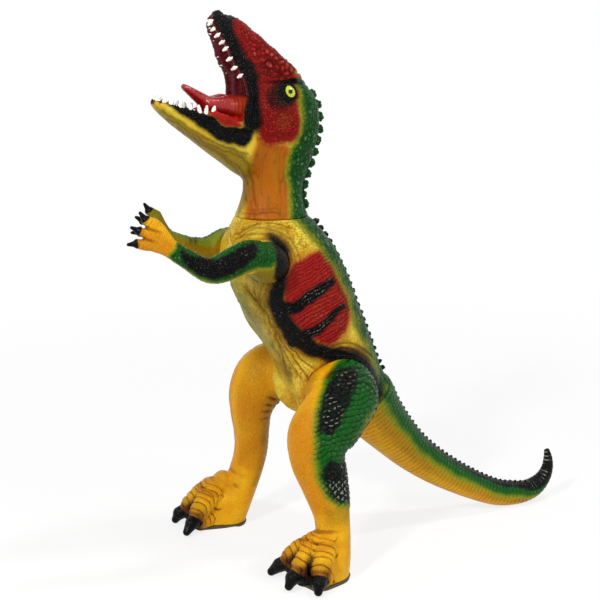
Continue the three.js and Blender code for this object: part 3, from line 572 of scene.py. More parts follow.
class Nodes:
    """Builds the nodes of a material or of the world."""

    def __init__(self, owner, shader="Principled BSDF"):
        owner.use_nodes = True
        self.owner = owner
        self.tree = owner.node_tree
        self.shader = self.tree.nodes[shader]
        if shader == "Principled BSDF":
            self.place = self.node("TexCoord").outputs["Object"]

    def node(self, kind, inputs=None, **settings):
        node = self.tree.nodes.new("ShaderNode" + kind)
        for key, value in settings.items():
            setattr(node, key, value)
        for key, value in (inputs or {}).items():
            self.put(node.inputs[key], value)
        return node

    def put(self, socket, value):
        if isinstance(value, bpy.types.NodeSocket):
            self.tree.links.new(value, socket)
        else:
            socket.default_value = value

    def set(self, key, value):
        self.put(self.shader.inputs[key], value)

    def paint(self, name):
        return self.node("Attribute", attribute_name=name).outputs["Fac"]

    def stretched(self, stretch):
        if stretch is None:
            return self.place
        return self.node("Mapping", {"Scale": stretch, "Vector": self.place}).outputs["Vector"]

    def noise(self, scale, detail=3.0, stretch=None):
        inputs = {"Scale": scale, "Detail": detail, "Vector": self.stretched(stretch)}
        return self.node("TexNoise", inputs).outputs["Fac"]

    def scales(self, scale, stretch=None):
        inputs = {"Scale": scale, "Vector": self.stretched(stretch)}
        return self.node("TexVoronoi", inputs, feature="DISTANCE_TO_EDGE").outputs["Distance"]

    def math(self, way, a, b):
        return self.node("Math", {0: a, 1: b}, operation=way).outputs["Value"]

    def range(self, value, low, high, to_low=0.0, to_high=1.0, kind="SMOOTHSTEP"):
        inputs = {"From Min": low, "From Max": high, "To Min": to_low, "To Max": to_high, "Value": value}
        return self.node("MapRange", inputs, interpolation_type=kind).outputs["Result"]

    def mix(self, factor, a, b, blend="MIX"):
        inputs = {"Factor": factor, "A": a, "B": b}
        return self.node("Mix", inputs, data_type="RGBA", blend_type=blend).outputs["Result"]

    def bump(self, height, depth, strength=1.0, after=None):
        inputs = {"Strength": strength, "Distance": depth, "Height": height}
        if after is not None:
            inputs["Normal"] = after
        return self.node("Bump", inputs).outputs["Normal"]

    def watched(self):
        """1 where a ray comes from the camera, a reflection or a clear piece."""
        rays = self.node("LightPath").outputs
        seen_so_far = self.math("MAXIMUM", rays["Is Camera Ray"], rays["Is Glossy Ray"])
        return self.math("MAXIMUM", seen_so_far, rays["Is Transmission Ray"])


BLACK = srgb(4, 4, 4)
# Coats of paint in the order of spraying: the attribute, the colour, the amounts at which it starts and
# is full, and how much it is speckled
COATS = [
    ("orange", srgb(176, 84, 2), 0.05, 0.95, 0.5),
    ("olive", srgb(118, 98, 10), 0.1, 0.9, 0.5),
    ("brown", srgb(92, 42, 6), 0.0, 1.0, 0.5),
    ("red", srgb(156, 20, 16), 0.1, 0.85, 0.5),
    ("maroon", srgb(84, 10, 22), 0.3, 0.7, 0.2),
    ("green", srgb(122, 134, 20), 0.0, 0.45, 0.5),
    ("green", srgb(12, 84, 18), 0.3, 0.9, 0.5),
    ("black", BLACK, 0.02, 0.8, 0.6),
    # Painted highlight: pale dashes and dots on the scales, where a glossy skin would catch the lamps.
    ("painted_highlight", srgb(204, 204, 186), 0.12, 1.0, 0.25),
]


def vinyl(name, base, bright):
    """Glossy soft vinyl with airbrushed coats, whose places come from the mesh's paint attributes."""
    n = Nodes(bpy.data.materials.new(name))
    grain = n.noise(700, 2)
    patchy = n.noise(60, 4)
    speckle = n.math("ADD", n.math("MULTIPLY", grain, 0.55), n.math("MULTIPLY", patchy, 0.6))
    speckle = n.math("SUBTRACT", speckle, 0.575)
    colour = n.mix(n.range(patchy, 0.3, 0.7), base, bright)
    for key, paint, low, high, spread in COATS:
        amount = n.math("ADD", n.paint(key), n.math("MULTIPLY", speckle, spread))
        colour = n.mix(n.range(amount, low, high), colour, paint)
    # Painted shade: creases are darkened, and turn brown as they do
    deepest = 0.12
    shade = n.range(n.paint("crease_shade"), 0.0, 1.0, 1.0, deepest, "LINEAR")
    less_green = n.math("MULTIPLY", shade, n.range(shade, deepest, 1.0, 0.62, 1.0, "LINEAR"))
    less_blue = n.math("MULTIPLY", shade, n.range(shade, deepest, 1.0, 0.35, 1.0, "LINEAR"))
    tint = n.node("CombineColor", {"Red": shade, "Green": less_green, "Blue": less_blue})
    n.set("Base Color", n.mix(1.0, colour, tint.outputs["Color"], "MULTIPLY"))
    pebble = n.math("MULTIPLY", n.range(n.scales(430), 0.0, 0.25), n.paint("pebble"))
    normal = n.bump(pebble, 0.0006)
    wrinkle = n.range(n.scales(330, (1.0, 1.0, 0.45)), 0.0, 0.1)
    normal = n.bump(wrinkle, 0.00012, 0.6, normal)
    n.set("Normal", n.bump(grain, 0.00012, 0.5, normal))
    dark = n.math("MAXIMUM", n.paint("black"), n.paint("green"))
    gloss = n.range(dark, 0.2, 0.8, 0.36, 0.26)
    n.set("Roughness", n.math("ADD", gloss, n.math("MULTIPLY", speckle, 0.25)))
    n.set("Specular IOR Level", 0.1)
    return n.owner


def plastic(name, cloud, colours, grain, roughness, coats=(), ridges_of=None):
    """Two shades in clouds with a fine bump. The roughness follows the clouds, and coats go on top."""
    n = Nodes(bpy.data.materials.new(name))
    scale, detail, low, high = cloud
    fleck = n.range(n.noise(scale, detail), low, high)
    colour = n.mix(fleck, *colours)
    for key, paint, start, full in coats:
        colour = n.mix(n.range(n.paint(key), start, full), colour, paint)
    n.set("Base Color", colour)
    scale, detail, depth, strength = grain
    normal = n.bump(n.noise(scale, detail), depth, strength)
    if ridges_of:
        scale, stretch, depth, strength = ridges_of
        normal = n.bump(n.noise(scale, 3, stretch), depth, strength, normal)
    n.set("Normal", normal)
    n.set("Roughness", n.range(fleck, 0, 1, *roughness))
    return n.owner


BODY_VINYL = vinyl("body_vinyl", srgb(204, 164, 30), srgb(234, 214, 74))
LIMB_VINYL = vinyl("limb_vinyl", srgb(216, 150, 10), srgb(232, 176, 26))
TOOTH = plastic("tooth_plastic", (260, 4, 0.45, 0.75), (srgb(244, 242, 234), srgb(205, 198, 176)),
                (900, 3, 0.0001, 0.4), (0.3, 0.45))
TONGUE = plastic("tongue_vinyl", (90, 4, 0.35, 0.7), (srgb(150, 16, 16), srgb(172, 30, 26)),
                 (900, 3, 0.0001, 0.4), (0.26, 0.38),
                 [("orange", srgb(196, 70, 20), 0.1, 0.9), ("maroon", srgb(120, 10, 16), 0.1, 0.9)],
                 (300, (1.0, 0.25, 1.0), 0.0004, 0.6))
EYE = plastic("eye_plastic", (900, 4, 0.35, 0.7), (srgb(176, 190, 30), srgb(206, 214, 62)),
              (1500, 3, 0.00003, 0.3), (0.1, 0.16),
              [("olive", srgb(104, 108, 16), 0.2, 0.8), ("black", BLACK, 0.4, 0.6)])
SOLE = plastic("sole_pad", (120, 5, 0.35, 0.7), (srgb(58, 50, 24), srgb(80, 72, 36)),
               (700, 4, 0.0003, 0.6), (0.55, 0.75))
CONNECTOR = plastic("connector_plastic", (80, 4, 0.3, 0.7), (srgb(214, 210, 200), srgb(228, 226, 218)),
                    (1200, 3, 0.00008, 0.5), (0.5, 0.62))


# Body

TORSO = [
    [-15.8, 297, 44.2, 297, 30, 2, 2],
    [-15.8, 290, 44.2, 290, 30, 2, 2],
    [-20.5, 279, 52.5, 281, 36, 2.1, 2.1],
    [-23.0, 259, 66.0, 263, 42, 2.3, 2.2],
    [-19.5, 235, 76.5, 243, 45, 2.3, 2.2],
    [-8.0, 210, 85.0, 221, 46, 2.3, 2.2],
    [5.0, 189, 94.0, 199, 44.5, 2.3, 2.2],
    [17.5, 166, 101.5, 181, 41.5, 2.3, 2.2],
    [27.0, 146, 107.0, 166, 38.5, 2.2, 2.2],
    [42.0, 126, 112.5, 155, 34.5, 2.2, 2.1],
    [61.2, 112, 116.5, 148, 30, 2.1, 2],
    [79.8, 105.7, 121.4, 143.1, 28, 2, 2],
    [86.5, 98.3, 128.1, 135.7, 28, 2, 2],
]
BACK_LINE = [[0, 50, 284], [0, 64.5, 262], [0, 76, 242], [0, 85.5, 221], [0, 94.5, 199], [0, 102, 181],
             [0, 108, 166], [0, 114, 153], [0, 119, 145]]


def length_along(path):
    return np.concatenate([[0], np.cumsum(np.linalg.norm(np.diff(path, axis=0), axis=1))])


def crest(field, line, pitch, radii, heights, taper=0.72, lean=0.12):
    """A row of blunt horn-like scales along a line. The radii and heights run between two numbers."""
    path = curve(line, 12)
    gone = length_along(path)
    count = int(gone[-1] // pitch)
    tops = []
    for i in range(count):
        at = (i + 0.5) * gone[-1] / count
        spot, ahead, behind = (
            np.array([np.interp(at + step, gone, path[:, axis]) for axis in range(3)]) for step in (0, 1, -1)
        )
        tangent = unit(ahead - behind)
        out = np.array([0, -tangent[2], tangent[1]])
        share = i / max(count - 1, 1)
        radius = radii[0] + (radii[1] - radii[0]) * share
        height = heights[0] + (heights[1] - heights[0]) * share
        tip = spot + out * (height - radius * taper) + tangent * lean * height
        field.rod(spot - out * radius * 0.6, tip, radius, radius * taper, 0.5)
        tops.append(tip)
    return np.array(tops)


def body_field():
    field = Field([-54, -34, 100], [54, 134, 296], STEPS["body"])
    field.add(profile(TORSO))
    for side in (1, -1):
        hip = HIP * [side, 1, 1]
        shoulder = SHOULDER * [side, 1, 1]
        field.egg(shoulder + [side * -4, 8, -2], [15, 22, 25], 7)
        field.egg(hip + [side * -9, 2, 2], [16, 36, 37], 8)
        field.egg([side * 22, 26, 218], [21.5, 27, 36], 9)
    tops = crest(field, BACK_LINE, 6.8, (3.7, 2.9), (6.2, 4.8))
    for side in (1, -1):
        field.socket(SHOULDER, side, SHOULDER_RADIUS + SEAM)
        field.socket(HIP, side, HIP_RADIUS + SEAM)
    field.plane(NECK - [0, 0, SEAM / 2], (0, 0, 1))
    field.plane(TAIL_SEAT, TAIL_AXIS)
    return field, tops


# Photo pixels of the body's folds: lines, half width in pixels, depth in mm and the darkness of their painted
# shade
BODY_FOLDS = [
    ([(229, 241), (235, 234), (242, 229), (252, 225.5), (263, 224)], 0.9, 0.8, 0.8),
    ([(231, 246), (238, 238), (246, 232), (257, 229)], 0.9, 0.7, 0.7),
    ([(234, 250), (241, 242), (249, 236), (258, 233)], 0.8, 0.6, 0.6),
    ([(263, 224), (275, 224), (286, 226), (296, 229)], 0.9, 0.8, 0.8),
    ([(264, 227.5), (276, 227.5), (290, 230)], 0.8, 0.6, 0.6),
    ([(240, 222), (247, 210), (251, 200)], 0.8, 0.4, 0.4),
    ([(263, 235), (272, 234), (280, 238.5), (285, 248), (287.5, 262), (287, 276)], 1.0, 0.9, 0.9),
    ([(264, 231), (275, 230.5), (285, 236), (290, 247), (292, 262)], 0.9, 0.6, 0.6),
    ([(262, 228.5), (276, 229), (290, 233), (296, 243)], 0.8, 0.4, 0.4),
    ([(235, 281), (248, 293), (265, 313), (273, 330), (280, 349), (291, 382)], 1.1, 1.1, 0.7),
    ([(242, 281), (253, 296), (265, 316)], 0.9, 0.8, 0.6),
    ([(252, 276), (254, 290), (258, 304), (264, 314)], 0.9, 0.7, 0.5),
    ([(262, 284), (259, 296), (263, 311)], 0.9, 0.7, 0.5),
    ([(266, 316), (274, 330), (287, 350), (303, 371), (315, 389)], 1.1, 1.0, 0.8),
    ([(270, 322), (283, 340), (298, 356), (318, 374)], 1.1, 0.9, 0.8),
    ([(268, 318), (276, 338), (290, 362), (303, 385)], 1.0, 0.9, 0.7),
    ([(263, 312), (272, 340), (283, 367), (296, 392)], 1.0, 0.8, 0.5),
    ([(282, 331), (292, 344), (306, 353), (322, 360), (338, 364)], 1.0, 0.8, 0.8),
    ([(326, 269), (333.7, 279.4), (341.3, 294.6), (346.4, 307.4), (345.2, 320)], 1.3, 0.9, 0.6),
    ([(345, 320), (338, 334), (326, 345)], 1.0, 0.6, 0.5),
    ([(336, 347), (348, 349), (360, 356), (368, 366)], 0.9, 0.7, 0.8),
    ([(330, 354), (344, 354), (357, 359), (366, 369)], 0.9, 0.7, 0.8),
]
# Outlines and middle lines of the body's paints, in photo pixels
FLANK = [(294, 263), (308, 254), (321, 250), (328, 255), (336, 271), (342, 286), (348, 301), (350, 318),
         (344, 333), (332, 346), (315, 341), (292, 322), (284, 303), (283, 290), (287, 275)]
EDGE_STRIPE = [(271.3, 237.3), (277.6, 241), (282.7, 251.3), (282.7, 262.8), (281.5, 276.8), (277.6, 289.6),
               (276, 302), (281, 315), (291, 331), (303, 342.5), (314.6, 349), (324.8, 353), (333.7, 356),
               (345, 356), (357, 359), (365, 366), (372, 377), (378, 390), (378, 404)]
STRIPES = [
    ([(277, 309), (293, 307.4), (308.2, 298.5), (321, 289.6), (331, 281)], [7, 6.5, 6, 5.5, 3]),
    ([(294, 341), (308.2, 334.1), (321, 326.5), (332.4, 316.3), (342, 307)], [6, 5.5, 5, 4.5, 2.5]),
]
GREEN_EDGE = [(286, 150), (289, 180), (293.6, 215.7), (306, 228), (318.4, 243.7), (328, 256.4),
              (337.5, 271.7), (346, 288.3), (352, 307.4), (358, 326.5), (364, 338), (369, 348),
              (373, 358), (376, 371), (378, 386), (379, 402)]
NECK_BROWN = [(246, 196), (282, 196), (284, 216), (270, 222), (250, 222)]
NECK_SHADE = [(250, 205), (276, 205), (278, 218), (252, 219)]
HIP_ORANGE = [(300, 372), (330, 358), (352, 372), (350, 400), (310, 420), (296, 400)]
FLANK_ORANGE = [(282, 262), (310, 248), (332, 252), (356, 316), (346, 342), (330, 352), (314, 346)]
BELLY_GREEN = [(222, 262), (240, 285), (262, 330), (275, 345), (250, 325)]
BELLY_OLIVE = [(228, 262), (272, 268), (277, 330), (296, 372), (292, 392), (258, 350), (236, 300)]
CHEST_OLIVE = [(232, 226), (262, 218), (292, 228), (296, 262), (282, 262), (268, 236), (236, 252)]
RUMP_OLIVE = [(326, 345), (372, 345), (378, 380), (352, 366)]
STRIPE_WIDTHS = [2.5, 5, 6, 6, 6.5, 7, 7.5, 8, 8, 8, 7.5, 7, 6.5, 6, 5.5, 5.5, 5, 4, 2]
BEAD_ROW, BEAD_FILE = 3.4, 2.3


def paint_body(made, tops):
    p, n, paint = made.p.copy(), made.normals(), made.paint
    x, y, z = p.T
    px = frayed(p)
    back = unit(np.array([0, 0.93, 0.37]))
    spine_side = smooth(0.72, 0.9, n @ back) * smooth(30, 60, y)
    edge = GREEN_EDGE + [(388, 386), (470, 386), (470, 150)]
    band = over(inside(px, edge, 9.0), spine_side)
    red = inside(px, curve(FLANK + FLANK[:1], 3), 5.5)
    stripe = along_line(px, curve(EDGE_STRIPE, 3), STRIPE_WIDTHS, 5.5)
    for line, sizes in STRIPES:
        stripe = over(stripe, along_line(px, line, sizes, 3.2))
    folds, dark = creases(px, BODY_FOLDS, (1.25, 0.95), (0.25, 0.2), 0.35)
    for side in (1, -1):
        mask = side * x > 12
        ring = round_gap(p, HIP)
        wobble = 1.2 * np.sin(np.arctan2(z - HIP[2], y - HIP[1]) * 5)
        for radius in (34, 38.5, 43):
            line = groove(ring - radius - wobble, 1.0) * mask
            line = line * smooth(162, 168, z) * smooth(44, 56, y)
            folds += 0.8 * line
            dark = over(dark, 0.75 * line)
        ring = round_gap(p, SHOULDER)
        for radius in (19, 22.5, 26.5):
            line = groove(ring - radius, 0.9) * mask * smooth(250, 262, z)
            folds += 0.6 * line
            dark = over(dark, 0.6 * line)
    bead_way = math.radians(33)
    rank = px[:, 0] * math.sin(bead_way) + px[:, 1] * math.cos(bead_way)
    file = px[:, 0] * math.cos(bead_way) - px[:, 1] * math.sin(bead_way)
    rank = rank + 1.1 * np.sin(file / 11)
    beads = ridges(rank / BEAD_ROW, 2.2) * (0.5 + 0.5 * ridges(file / BEAD_FILE))
    flank = over(red, stripe * inside(px, FLANK + [(300, 250)], 6))
    scutes = cells(p, 4.4, 3, (1, 1, 0.8))
    stripe_scales = cells(p, 3.2, 8)
    fine = fibres(p, 4.5, 5, (0.8, 1.5, 0.3)) + 0.7 * fibres(p, 4.5, 11, (0.8, 0.3, 1.4))
    for seed, stretch in ((15, (0.9, 1.3, 0.35)), (2, (0.9, 0.35, 1.3))):
        fine = over(fine, 0.8 * fibres(p, 2.9, seed, stretch))
    fine = np.clip(fine, 0, 1) * (0.62 + 0.5 * clouds(p, 25, 3))
    plain = 1 - over(band, flank, stripe)
    height = -folds + RELIEF["beads"] * flank * (beads - 0.4) + RELIEF["back"] * band * (scutes - 0.4)
    height += stripe * (1 - flank) * RELIEF["stripe"] * (stripe_scales - 0.4)
    height -= RELIEF["wrinkles"] * fine * plain
    # The relief fades out at the neck and tail seams, and round the limbs' seats
    outside_seats = np.abs(x) > 30
    hip_gap = np.abs(round_gap(p, HIP) - HIP_RADIUS)
    shoulder_gap = np.abs(round_gap(p, SHOULDER) - SHOULDER_RADIUS)
    rim = over(
        1 - smooth(0.5, 2.5, np.abs(z - NECK[2])),
        1 - smooth(0.5, 2.5, np.abs((p - TAIL_SEAT) @ TAIL_AXIS)),
        (1 - smooth(2.0, 8.0, hip_gap)) * outside_seats,
        (1 - smooth(1.5, 6.0, shoulder_gap)) * outside_seats,
    )
    made.lift(height * (1 - rim))
    flank_edge = 0.8 * inside(px, FLANK_ORANGE, 5) * (1 - red)
    paint["orange"] = over(0.7 * inside(px, NECK_BROWN, 7), 0.55 * inside(px, HIP_ORANGE, 9), flank_edge)
    paint["red"] = red
    paint["green"] = over(band, 0.35 * inside(px, BELLY_GREEN, 6))
    low_back = inside(px, RUMP_OLIVE, 6)
    broad = 0.5 + 0.5 * clouds(p, 16, 6)
    belly = 0.75 * inside(px, BELLY_OLIVE, 9) * (0.45 + 0.55 * broad)
    paint["olive"] = over(belly, 0.45 * inside(px, CHEST_OLIVE, 6) * broad, 0.7 * low_back)
    around_stripe = along_line(px, curve(EDGE_STRIPE, 3), np.array(STRIPE_WIDTHS) + 4, 8)
    paint["brown"] = over(
        0.45 * inside(px, NECK_SHADE, 5),
        0.9 * around_stripe * (1 - 0.5 * red),
        0.4 * low_back,
    )
    knobs = near(p, tops, 3.4, 5.0)
    # Painted shade: black in the gaps between the scutes along the back.
    spine_gap_shade = 0.45 * band * (1 - scutes) * smooth(0.5, 0.9, spine_side)
    paint["black"] = over(stripe, 0.75 * knobs, spine_gap_shade)
    scute_gaps = 0.6 * band * (1 - smooth(0, 0.5, scutes))
    # Painted shade in the folds, between the beads and scutes and in the fine wrinkles.
    shade = over(dark, 0.8 * flank * (1 - beads), scute_gaps, 0.78 * fine * plain)
    paint["crease_shade"] = shade * (1 - 0.3 * stripe)
    paint["pebble"] = over(0.3 + 0.4 * band, 0.9 * stripe)
    patchy = smooth(-0.5, 0.4, clouds(p, 10, 12))
    bead_glint = glints(rank / BEAD_ROW, file / BEAD_FILE, 0.16) * patchy
    # Painted highlights on the beads, the stripe's scales and the scutes.
    paint["painted_highlight"] = over(
        bead_glint * over(0.4 * red, 0.62 * stripe * flank),
        0.26 * stripe * (1 - flank) * smooth(0.7, 0.95, stripe_scales) * patchy,
        0.34 * band * smooth(0.75, 0.97, scutes) * patchy,
    )
    made.soften(7, "orange", "olive", "brown", "green", "red")
    made.soften(5, "black")


BODY, BACK_TOPS = body_field()
body_skin = BODY.mesh()
paint_body(body_skin, BACK_TOPS)
body_skin.make("body_skin", "torso", "body_shell", "body_vinyl", BODY_VINYL)


# Head and neck

SKULL = [
    [-15.8, 284, 44.2, 284, 30, 2, 2],
    [-15.8, 290.3, 44.2, 290.3, 30, 2, 2],
    [-12.4, 299, 40.3, 299, 26, 2, 2],
    [-9.5, 310, 39.5, 311, 22.5, 2, 2.1],
    [-9.8, 320, 42.5, 321, 20.6, 2, 2.1],
    [-11, 331, 47, 332, 21.2, 2, 2.1],
    [-10.4, 344, 52, 348, 23.5, 2, 2.1],
    [-11, 360, 54.5, 366.5, 25.7, 2.4, 2.2],
    [-10.4, 375.3, 51, 385, 26.4, 2.6, 2.2],
    [-11.6, 386, 42, 396.3, 26.0, 2.8, 2.2],
    [-13.4, 397.1, 35, 405.9, 25.0, 2.8, 2.2],
    [-16.4, 409, 26.5, 414.5, 22.4, 2.8, 2.2],
    [-22, 419.9, 15, 423, 19.6, 2.8, 2.2],
    [-28, 429.9, 2.8, 433.9, 16.8, 2.8, 2.2],
    [-33, 438.1, -8.6, 444.1, 13.8, 2.6, 2.2],
    [-35.5, 444.1, -17.6, 449.4, 10.4, 2.4, 2.2],
    [-34, 448.4, -23.6, 451, 5.8, 2, 2.2],
]
JAW = [
    [7.4, 369.9, 9.1, 322, 17.9, 4, 2],
    [-6.8, 373.5, -7.7, 320.9, 22.1, 4, 2],
    [-18.6, 373.5, -18.6, 326.6, 22.6, 5, 2],
    [-31.2, 373.5, -29.5, 334.9, 21.5, 6, 2],
    [-43, 374.5, -41.3, 343.7, 19.6, 6, 2],
    [-56.4, 377, -53.9, 353.6, 17.1, 6, 2],
    [-70.7, 380.6, -69, 365.3, 13.4, 6, 2],
    [-80.8, 383.6, -80.8, 376, 9.4, 4, 2],
    [-85.5, 384.3, -84.8, 380.9, 5.1, 2, 2],
]
NECK_LINE = [[0, 42.5, 292], [0, 38.8, 305], [0, 42, 319], [0, 47, 333], [0, 52.5, 350], [0, 54.7, 364],
             [0, 53, 377], [0, 46, 390]]
UPPER_LIP = [(5, -36.2, 446.2), (9, -35.0, 441.6), (12, -33.0, 436.8), (14, -29.9, 431.6),
             (15.5, -27.6, 426.6), (17, -25.2, 418.8), (18.5, -21.8, 411.9), (20, -17.4, 405.8),
             (21, -14.2, 402.2)]
LOWER_LIP = [(4, -83.0, 386.6), (8.5, -79.0, 384.6), (11, -74.6, 383.5), (13.5, -67.8, 381.2),
             (15.5, -59.8, 379.4), (17.5, -52.9, 376.8), (18.5, -48.3, 375.8), (19, -42.4, 377.2)]
LOWER_TIPS = [(4.6, -79.4, 390.8), (7, -77.0, 389.8), (10, -71.1, 388.4), (12, -65.5, 387.6),
              (14, -60.0, 385.9), (16, -53.6, 384.0), (17.5, -46.7, 383.6), (17.8, -40.2, 382.4)]
ROOF_LINE = [[0, -35.5, 444], [0, -29.5, 432], [0, -22.5, 420], [0, -16.5, 408], [0, -13, 396], [0, -12, 386]]
MOUTH_FLOOR = [[0, -76, 391], [0, -62, 388], [0, -46, 386], [0, -26, 386], [0, -10, 389]]
MOUTH_WAY = unit(np.array([0, -0.82, -0.57]))
EYE_PLACE = np.array([0, 20.8, 391.2])
EYE_LONG = unit(np.array([0, 0.62, -0.79]))
EYE_SHORT = unit(np.array([0, 0.79, 0.62]))


def mirrored(rows, side):
    rows = np.array(rows, float)
    rows[:, 0] *= side
    return rows


def almond(side, x, long, short, count=20):
    """Points round an almond on the side of the head."""
    spots = []
    for t in 2 * np.pi * np.arange(count + 1) / count:
        pinch = abs(math.sin(t)) ** 1.25 * math.copysign(1, math.sin(t))
        spots.append(EYE_PLACE + [side * x, 0, 0] + EYE_LONG * long * math.cos(t) + EYE_SHORT * short * pinch)
    return np.array(spots)


# Forms along each side of the head: the points on the left, the radii and the blend
HEAD_SIDES = [
    ([[19, -41, 375.5], [21, -33, 372], [22.5, -22, 366.5], [23, -14, 363]], [2.6, 2.4, 2.2, 2], 2.5),
    ([[20.5, -14.5, 402], [22.5, -12, 390], [23, -14, 378], [22.5, -16, 369]], [3, 3, 3, 2.4], 3),
    ([[15, -7, 404], [16, -4, 393], [16, -4, 381], [16, -8, 370]], [7, 8, 8, 8], 3),
    ([[7, -4, 402], [8, -1, 392], [8, -1, 380]], [6, 7, 7], 3),
    ([[12, -4, 431], [16.5, 7, 418.5], [18.5, 16, 409.5], [18.5, 22, 403.5]], [5, 6, 6, 5.5], 4),
]
BROW_CREASE = [[28, 5, 397.5], [27.5, 15, 399.5], [26, 25, 398.5], [24, 32, 396]]


def head_field():
    field = Field([-34, -96, 285], [34, 68, 458], STEPS["head"])
    field.add(profile(SKULL))
    field.add(profile(JAW), 4)
    for side in (1, -1):
        lip = mirrored(UPPER_LIP, side)
        field.chain(lip - MOUTH_WAY * 6.5 - [side * 3.5, 0, 0], [4, 5, 5.5, 6, 6, 6, 6, 6, 6], 3)
    field.chain(np.array(ROOF_LINE) + MOUTH_WAY * 5.5, [6, 8, 9.5, 10, 10.5, 10], 2.5, cut=True)
    field.chain(MOUTH_FLOOR, [6, 9, 12, 14, 13], 3, cut=True)
    for side in (1, -1):
        lip = mirrored(UPPER_LIP, side)
        field.chain(lip - MOUTH_WAY * 1.4 - [side * 0.8, 0, 0], [2.5] * len(lip), 2.5)
        lip = mirrored(LOWER_LIP, side)
        field.chain(lip - [side * 0.8, 0, 1.8], [2.6] * len(lip), 2)
        for points, radii, k in HEAD_SIDES:
            field.chain(mirrored(points, side), radii, k)
        field.egg([side * 18.5, 23.5, 401.5], [6.5, 6, 5.5], 2)
        field.chain(mirrored(BROW_CREASE, side), [1.6, 2.6, 2.8, 1.8], 1.5, cut=True)
        field.egg([side * 20, 18, 378], [7.0, 22, 20], 6)
    tops = crest(field, NECK_LINE, 9.3, (4.4, 4.0), (7.4, 6.6), 0.78)
    reaches = {}
    for side in (1, -1):
        field.egg([side * 29.5, 20.5, 391.5], [5.5, 9, 9.5], 3, cut=True)
        reaches[side] = field.side_reach(side, EYE_PLACE)
        lid = almond(side, reaches[side] + 0.2, 8.2, 4.9)
        field.chain(lid, [1.1] * len(lid), 0.8)
    field.plane(NECK + [0, 0, SEAM / 2], (0, 0, -1))
    return field, tops, reaches


# Outlines of the head's paints and forms, in photo pixels
MUZZLE_BLACK = [(216, 12), (234, 15), (233, 28), (239, 38), (244, 48), (248, 57), (254, 65), (258, 76),
                (260.5, 93), (261, 111), (262, 124), (258, 134), (246, 132), (239, 120), (236, 101),
                (237, 80), (238, 67.7), (230, 54), (223, 38), (212, 18)]
JAW_BLACK = [(154, 97), (163, 103), (172, 107.5), (182, 116), (192.7, 121.5), (200.7, 127.5), (208.7, 133),
             (216.7, 139), (228, 143.7), (236.7, 145.7), (246, 146.3), (251, 140), (255, 130), (243, 125),
             (239.3, 127), (228.7, 125.3), (220.7, 122.7), (215.3, 117.3), (208, 112), (190, 104), (170, 98),
             (155, 93)]
RED_FACE = [(226, 10), (240, 22), (262, 42), (285, 58), (300, 66), (304, 78), (301, 92), (300, 110),
            (301, 124), (298, 138), (291, 148), (272, 151), (258, 142), (255, 120), (248, 80), (238, 50),
            (222, 20)]
NECK_GREEN = [(297, 84), (301, 92), (301.6, 103), (303.5, 115), (302, 130), (297.6, 140), (294, 148),
              (289.8, 158), (288.6, 172), (290, 190), (292, 212), (292, 232), (340, 232), (340, 76),
              (306, 78)]
BROW = [(262, 58), (282, 56), (304, 66), (303, 78), (276, 80), (258, 76)]
SNOUT = [(232, 14), (262, 40), (284, 56), (262, 76), (250, 52)]
THROAT = [(246, 146), (292, 152), (292, 222), (238, 222), (244, 180)]
NECK_ORANGE = [(258, 140), (292, 148), (291, 225), (246, 225), (243, 180), (250, 160)]
# Painted shade in olive under the jaw and down the front edge of the neck.
JAW_UNDERSIDE_SHADE = [(150, 100), (180, 118), (216, 140), (248, 150), (256, 170), (250, 200), (236, 224), (222, 224),
             (240, 180), (200, 160), (150, 112)]
MEMBRANE = [(213, 107), (220, 107.5), (241, 125), (239, 128), (228, 126.5), (220, 123), (213, 117),
            (207, 113)]
EYE_RIDGE = [(272, 84), (282, 81.5), (291, 80.5), (300, 82.5)]
EYE_PIXEL = (287.2, 92.8)
EAR_PIXEL = (285, 120)
# Photo pixels of the head's folds: lines, half width in pixels, depth in mm and the darkness of their painted
# shade
HEAD_FOLDS = [
    ([(262, 84), (270, 83), (280, 80.5), (290, 80), (299, 82.5)], 1.6, 1.2, 0.9),
    ([(274, 104), (280, 106), (288, 106), (295, 102)], 0.9, 0.4, 0.4),
    ([(247.5, 78), (246, 90), (246, 104), (249, 118), (256, 131)], 0.9, 0.6, 0.5),
    ([(252, 80), (250.5, 95), (251, 110), (255, 124), (259, 131)], 0.8, 0.5, 0.4),
    ([(256, 82), (255, 97), (256, 112), (259, 124)], 0.7, 0.4, 0.3),
    ([(216, 110), (226, 116), (240, 126.5)], 0.8, 0.5, 0.4),
    ([(219, 113), (228, 120), (238, 127)], 0.7, 0.4, 0.4),
    ([(261, 110), (262, 124), (262, 138)], 0.9, 0.5, 0.5),
    ([(239, 215), (252, 213.5), (268, 213), (284, 213.5)], 0.8, 0.4, 0.5),
    ([(246, 210.5), (262, 209.5), (280, 210)], 0.7, 0.3, 0.35),
]
JAW_LINES = [
    [(168, 118), (185, 129), (205, 142), (225, 152), (245, 160)],
    [(162, 112), (180, 122), (202, 136), (226, 148), (248, 154)],
    [(178, 128), (200, 142), (222, 155), (240, 168), (248, 184)],
    [(190, 137), (212, 150), (232, 164), (243, 182), (246, 200)],
    [(203, 136), (224, 147), (244, 160), (252, 180), (254, 204)],
]


